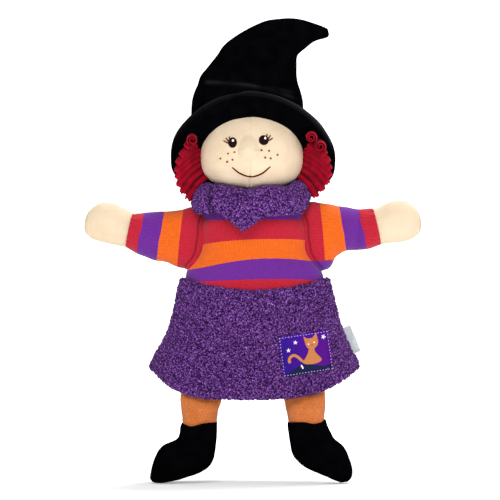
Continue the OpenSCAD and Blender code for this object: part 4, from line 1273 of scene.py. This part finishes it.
body_rows = motif([(0.13, 0.20), (0.10, 0.08), (0.02, -0.10), (-0.10, -0.30), (-0.16, -0.44), (-0.02, -0.53),
                   (0.20, -0.56)],
                  [(0.36, 0.20), (0.36, 0.06), (0.43, -0.10), (0.54, -0.28), (0.58, -0.42), (0.44, -0.52),
                   (0.24, -0.56)])
head_rows = motif([(0.02, 0.70), (0.02, 0.52), (0.06, 0.34), (0.13, 0.22), (0.22, 0.16)],
                  [(0.50, 0.76), (0.54, 0.56), (0.50, 0.36), (0.40, 0.24), (0.26, 0.16)])
ear_l = motif([(-0.01, 0.86), (0.0, 0.76), (0.01, 0.66), (0.04, 0.56)],
              [(0.0, 0.86), (0.10, 0.76), (0.20, 0.70), (0.24, 0.56)])
ear_r = motif([(0.50, 0.94), (0.42, 0.84), (0.34, 0.74), (0.30, 0.58)],
              [(0.51, 0.94), (0.52, 0.84), (0.53, 0.72), (0.52, 0.58)])
tail = tail_rows([(-0.08, -0.44), (-0.22, -0.28), (-0.34, -0.10), (-0.48, 0.0), (-0.62, -0.06),
                  (-0.69, -0.22), (-0.66, -0.34)], 1.15)
cat = [printed(*body_rows), printed(*head_rows, lift=2.4), printed(*ear_l), printed(*ear_r), printed(*tail)]
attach(together("patch_cat", cat, CAT), "torso")


def star(ci, cj, size, turn):
    """A five-pointed star: rings from rim to middle; the radius follows the cosine of five times the angle."""
    a = turn_round(40) + turn
    r = size * (0.62 + 0.38 * np.cos(5 * (a - turn))) * np.array([[1.0], [0.98], [0.6], [0.1]])
    lift = np.array([[1.2], [2.25], [2.35], [2.35]])
    return patch_points(ci + r * np.sin(a) / PATCH_HALF[0], cj + r * np.cos(a) / PATCH_HALF[1], lift)


def dot(ci, cj, radii, squash):
    """A raised oval dot: rings that shrink from its rim to its middle."""
    a, r = turn_round(16), np.array(radii)[:, None]
    lift = np.array([[2.1], [2.6], [2.65]])
    return patch_points(ci + r * np.cos(a) / PATCH_HALF[0], cj + r * squash * np.sin(a) / PATCH_HALF[1], lift)


stars = [star(-0.35, 0.62, 1.75, 0.2), star(0.77, 0.70, 2.0, 0.5), star(-0.66, 0.28, 1.75, 0.1)]
stars.append(printed(*tail_rows([(-0.25, -0.52), (-0.22, -0.62), (-0.19, -0.72)], 0.55)))
for ci, cj in ((0.15, 0.45), (0.38, 0.50)):
    stars.append(dot(ci, cj, (0.62, 0.58, 0.1), 0.8))
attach(together("patch_stars", stars, STAR), "torso")
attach(stuffed("patch_cat_nose", dot(0.28, 0.38, (0.75, 0.7, 0.1), 0.6), CAT_FACE), "torso")

stitches = []
for count, fixed, along_i in ((17, 0.93, True), (17, -0.93, True), (13, 0.945, False), (13, -0.945, False)):
    for k in range(count):
        c = -0.93 + 1.86 * k / (count - 1)
        s = np.linspace(-1, 1, 7)
        reach = 0.62 / PATCH_HALF[0 if along_i else 1]
        ii, jj = (c + s * reach, fixed + 0 * s) if along_i else (fixed + 0 * s, c + s * reach)
        line = patch_points(ii, jj, 1.75 + 0.25 * (1 - s**2))
        stitches.append(cord_rings(line, 0.37 * np.sqrt(1.05 - s**2), 6))
dress(together("patch_stitches", stitches, STITCH), ["patch_stitching"], "torso")

# The label lies along its joint's line and out from it, with its root inside the seam.
flip = [joint for joint in frame["joints"] if joint["name"] == "label_flip"][0]
run = np.array(flip["axis"], float)
run /= np.linalg.norm(run)
out = np.array([-run[2], 0, run[0]]) if run[2] < 0 else np.array([run[2], 0, -run[0]])
s = np.linspace(-11, 11, 60)[:, None]
t = np.linspace(-3.4, 7.0, 26)[None, :]
p = (JOINT["label_flip"] + run * s[..., None] + out * t[..., None]
     + np.array([0, 1.0, 0]) * (0.35 * np.sin(s * 0.35) * t / 7)[..., None])
piece = sewn("side_label", p, 0.5, LABEL, centre=JOINT["label_flip"] + np.array([0, 30, 0]))
dress(piece, ["label"], "label")
declare_sheet(p)


# ---------- the legs and the shoes ----------
HIP_X = 41.5                 # the legs' middle lines, from the middle of the doll
BOOT_ROWS = 110
LEGS_SHAPE = {  # level, inner x, outer x, half depth
    "left": [(8, 24.6, 56.8, 4), (4, 24.8, 57.4, 8), (-1.6, 25.6, 57.6, 11), (-7.2, 27.4, 57.2, 13),
             (-12.8, 28.2, 56.2, 12), (-18.2, 28.8, 55.6, 10.8), (-21.5, 29.8, 54.6, 10)],
    "right": [(8, 24.0, 57.0, 4), (4, 24.2, 57.6, 8), (-1.6, 24.9, 57.7, 11), (-7.2, 26.6, 57.5, 13),
              (-12.8, 27.4, 56.9, 12), (-18.2, 28.0, 56.6, 10.8), (-21.5, 29.2, 55.6, 10)]}
# Two outlines from the ankle to the toe: outside of the foot, and inside with the sole; then the half depth.
SHOES = {
    "left": [(56.4, -17.6, 28.4, -16.6, 13.2), (57.8, -20.5, 28.4, -21, 13.4),
             (58.4, -25, 28.6, -26, 13.4), (60.2, -29.8, 28.9, -31, 13), (66.0, -32.4, 29.2, -36, 13.2),
             (71.6, -35.0, 29.7, -41, 13.2), (75.4, -39.4, 31.0, -46.4, 13),
             (77.6, -44.0, 34.2, -51.6, 12.8), (79.4, -49.0, 39.8, -55.6, 12.4),
             (80.7, -53.6, 47.4, -59.0, 11.6), (81.8, -58.2, 56.4, -61.8, 10.2),
             (81.9, -61.4, 65.0, -64.0, 8.0), (80.2, -64.0, 71.2, -65.3, 5.2)],
    "right": [(57.8, -14.6, 27.8, -16.8, 13.2), (59.0, -19.0, 27.9, -21, 13.4),
              (61.3, -24.0, 28.3, -26, 13.4), (64.4, -29.2, 28.9, -31, 13),
              (68.4, -32.8, 29.6, -36, 13.2), (72.2, -36.6, 30.4, -40.4, 13.2),
              (74.9, -41.0, 32.6, -44.9, 13), (76.8, -45.8, 37.2, -49.4, 12.8),
              (78.2, -50.4, 43.6, -53.4, 12.4), (79.0, -54.6, 50.8, -57.2, 11.6),
              (79.0, -58.6, 58.0, -60.4, 10.2), (77.9, -61.6, 64.4, -63.0, 8.0),
              (75.6, -63.8, 69.6, -64.6, 5.2)]}

for side, out in SIDES.items():
    hip, ankle = JOINT[f"leg_{side}_swing"], JOINT[f"foot_{side}_bend"]
    z = np.linspace(8, -21.5, 70)[:, None]
    inner, outer, deep = columns([(-r[0], *r[1:]) for r in LEGS_SHAPE[side]], -z)
    a = turn_round(110)
    c, s = power(np.cos(a), 0.9), power(np.sin(a), 0.9)
    mid, half = (inner + outer) / 2, (outer - inner) / 2
    p = grid(out * (mid + half * c), hip[1] - deep * s, hip[2] - 0.8 + z)
    n = outward(p, True, np.array([out * HIP_X, hip[1], -8]))
    p = p + n * (0.5 * swell(p, 16, 81 + out) + 0.2 * swell(p, 6, 83 + out))[..., None]
    piece = stuffed(f"stuffed_leg_{side}", p, LEGS)
    dress(piece, [f"leg_{side}", f"leg_stuffing_{side}"])
    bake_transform(piece)

    a = turn_round(120)
    c, s = np.cos(a), power(np.sin(a), 0.82)
    ox, oz, ix, iz, deep = np.moveaxis(spread(SHOES[side], BOOT_ROWS), -1, 0)[..., None]
    opening = 2.6 * np.clip(1 - np.arange(BOOT_ROWS)[:, None] / 12, 0, 1) * step(0.1, 0.7, s)
    opening = opening * hump(c - 0.5, 0.55)
    p = grid(out * ((ox + ix) / 2 + (ox - ix) / 2 * c), hip[1] - deep * s,
             (oz + iz) / 2 + (oz - iz) / 2 * c - opening)
    n = outward(p, True, np.array([out * 52, hip[1], -42]))
    seam = -0.35 * hump(s, 0.06)
    p = p + n * (seam + 0.5 * swell(p, 22, 91 + out) + 0.15 * swell(p, 8, 93 + out))[..., None]
    piece = stuffed(f"boot_{side}", p, VELOUR)
    dress(piece, [f"shoe_{side}", f"shoe_stuffing_{side}"], f"foot_{side}")


# ---------- inside: lining sleeve, tapes, neck ----------
def cloth_tube(name, within, insets, finish, seed, ruffle, body, count=150):
    """A tube of cloth with small ruffles round it, inside the box of the CAD node that it stands for.

    insets says how far inside the box's side and front the cloth lies, at even heights from the bottom.
    """
    lo, hi = low(within), high(within)
    levels = np.linspace(lo[2], hi[2], len(insets))
    z = np.linspace(lo[2], hi[2], 40)[:, None]
    a, b = columns([(level, hi[0] - dx, hi[1] - dy) for level, (dx, dy) in zip(levels, insets)], z)
    u = turn_round(count)
    p = grid(a * np.sin(u), -b * np.cos(u), z)
    centre = np.array([0, 0, (lo[2] + hi[2]) / 2])
    n = outward(p, True, centre)
    waves = 1 + 0.6 * np.sin(u * 26 + 2 * np.sin(3 * u)) + swell(p, 18, seed)
    p = p - n * (ruffle * waves)[..., None]
    piece = sewn(name, p, THIN_CLOTH, finish, wrap=True, centre=centre)
    dress(piece, [within], body)
    declare_sheet(p, wrap=True)


cloth_tube("inner_sleeve", "glove_sleeve", [(0.6, 0.6), (3.2, 1.6), (7.0, 3.4)], LINING, 101, 0.5,
           "torso")
cloth_tube("waist_binding", "waist_tape", [(0.8, 0.8), (2.2, 0.9)], TAPE, 102, 0.1,
           "torso")
cloth_tube("neck_gather", "neck_band", [(0.6, 0.6), (0.9, 0.9), (0.5, 0.5)], SKIN, 103, 0.25,
           "neck", 200)

t_lo, t_hi = low("hip_tapes"), high("hip_tapes")
for side, out in SIDES.items():
    x = np.linspace(-9.4, 9.4, 30)[None, :]
    z = np.linspace(t_lo[2], t_hi[2], 20)[:, None]
    p = grid(out * HIP_X + x, (t_lo[1] + t_hi[1]) / 2 + 0.3 * np.sin(x * 0.5 + z), z)
    piece = sewn(f"hip_tape_{side}", p, THIN_CLOTH, LINING, centre=(out * HIP_X, 40, 6))
    dress(piece, ["hip_tapes"] if side == "left" else (), "torso")
    declare_sheet(p)

for name, finish in (("finger_tube", CARD), ("neck_tie", THREAD)):
    kept = frame["nodes"][name]
    kept.data.materials.clear()
    kept.data.materials.append(finish)


# ---------- floor, backdrop, light and camera ----------
def stage_material(name, colour, near, far):
    """A plain pale surface with light of its own, which goes from near at the middle to far further out."""
    made, tree, shader = start(name, 1.0, 0.0, 0.0)
    shader.inputs["Base Color"].default_value = colour
    shader.inputs["Emission Color"].default_value = (1, 1, 1, 1)
    distance = node(tree, "ShaderNodeVectorMath", {0: place(tree)}, operation="LENGTH").outputs["Value"]
    reach = {"Value": distance, "From Min": 0.25, "From Max": 0.9, "To Min": near, "To Max": far}
    glow = node(tree, "ShaderNodeMapRange", reach)
    tree.links.new(glow.outputs["Result"], shader.inputs["Emission Strength"])
    return made


def disc(name, radius, level, finish):
    """A flat round floor."""
    a = turn_round(64)[0]
    mesh = bpy.data.meshes.new(name)
    points = [(radius * math.cos(v), radius * math.sin(v), level) for v in a]
    mesh.from_pydata(points, [], [list(range(64))])
    mesh.materials.append(finish)
    made = bpy.data.objects.new(name, mesh)
    bpy.context.scene.collection.objects.link(made)
    return made


floor = disc("floor", 9.0, FLOOR * MM - 0.0008, stage_material("floor_white", grey(0.92), 0.2, 0.95))

# A white dome that only the camera sees, so that the background is even.
a = turn_round(48)
e = np.linspace(-np.pi / 2 + 0.02, np.pi / 2 - 0.02, 24)[:, None]
dome_points = 11000 * grid(np.cos(e) * np.cos(a), np.cos(e) * np.sin(a), np.sin(e))
backdrop = stuffed("backdrop", dome_points, stage_material("backdrop_white", grey(1), 1.0, 1.0))
for way in ("diffuse", "glossy", "transmission", "volume_scatter", "shadow"):
    setattr(backdrop, f"visible_{way}", False)

world = bpy.data.worlds.new("studio")
bpy.context.scene.world = world
world.use_nodes = True
world.node_tree.nodes["Background"].inputs["Color"].default_value = (1, 1, 1, 1)
world.node_tree.nodes["Background"].inputs["Strength"].default_value = 0.46


def soft_light(name, at, aim, size, power_w):
    """A square soft light at a place, aimed at another, both in metres."""
    data = bpy.data.lights.new(name, "AREA")
    data.shape, data.size, data.energy = "SQUARE", size, power_w
    made = bpy.data.objects.new(name, data)
    bpy.context.scene.collection.objects.link(made)
    at, aim = np.array(at), np.array(aim)
    made.location = at
    made.rotation_euler = Vector(aim - at).to_track_quat("-Z", "Y").to_euler()


soft_light("key", (-0.4, -2.3, 1.6), (0, 0, 0.12), 1.3, 38)
soft_light("fill", (1.5, -1.9, 0.8), (0, 0, 0.12), 1.2, 10)
soft_light("top", (0.3, 0.45, 1.3), (0, 0, 0.0), 0.5, 20)

camera_data = bpy.data.cameras.new("camera")
camera_data.lens, camera_data.sensor_width = 270, 36
camera = bpy.data.objects.new("camera", camera_data)
bpy.context.scene.collection.objects.link(camera)
camera.location = (-0.0024, -3.0, 0.120)
camera.rotation_euler = (math.pi / 2, 0, 0)
bpy.context.scene.camera = camera
bpy.context.scene.view_settings.view_transform = "Standard"
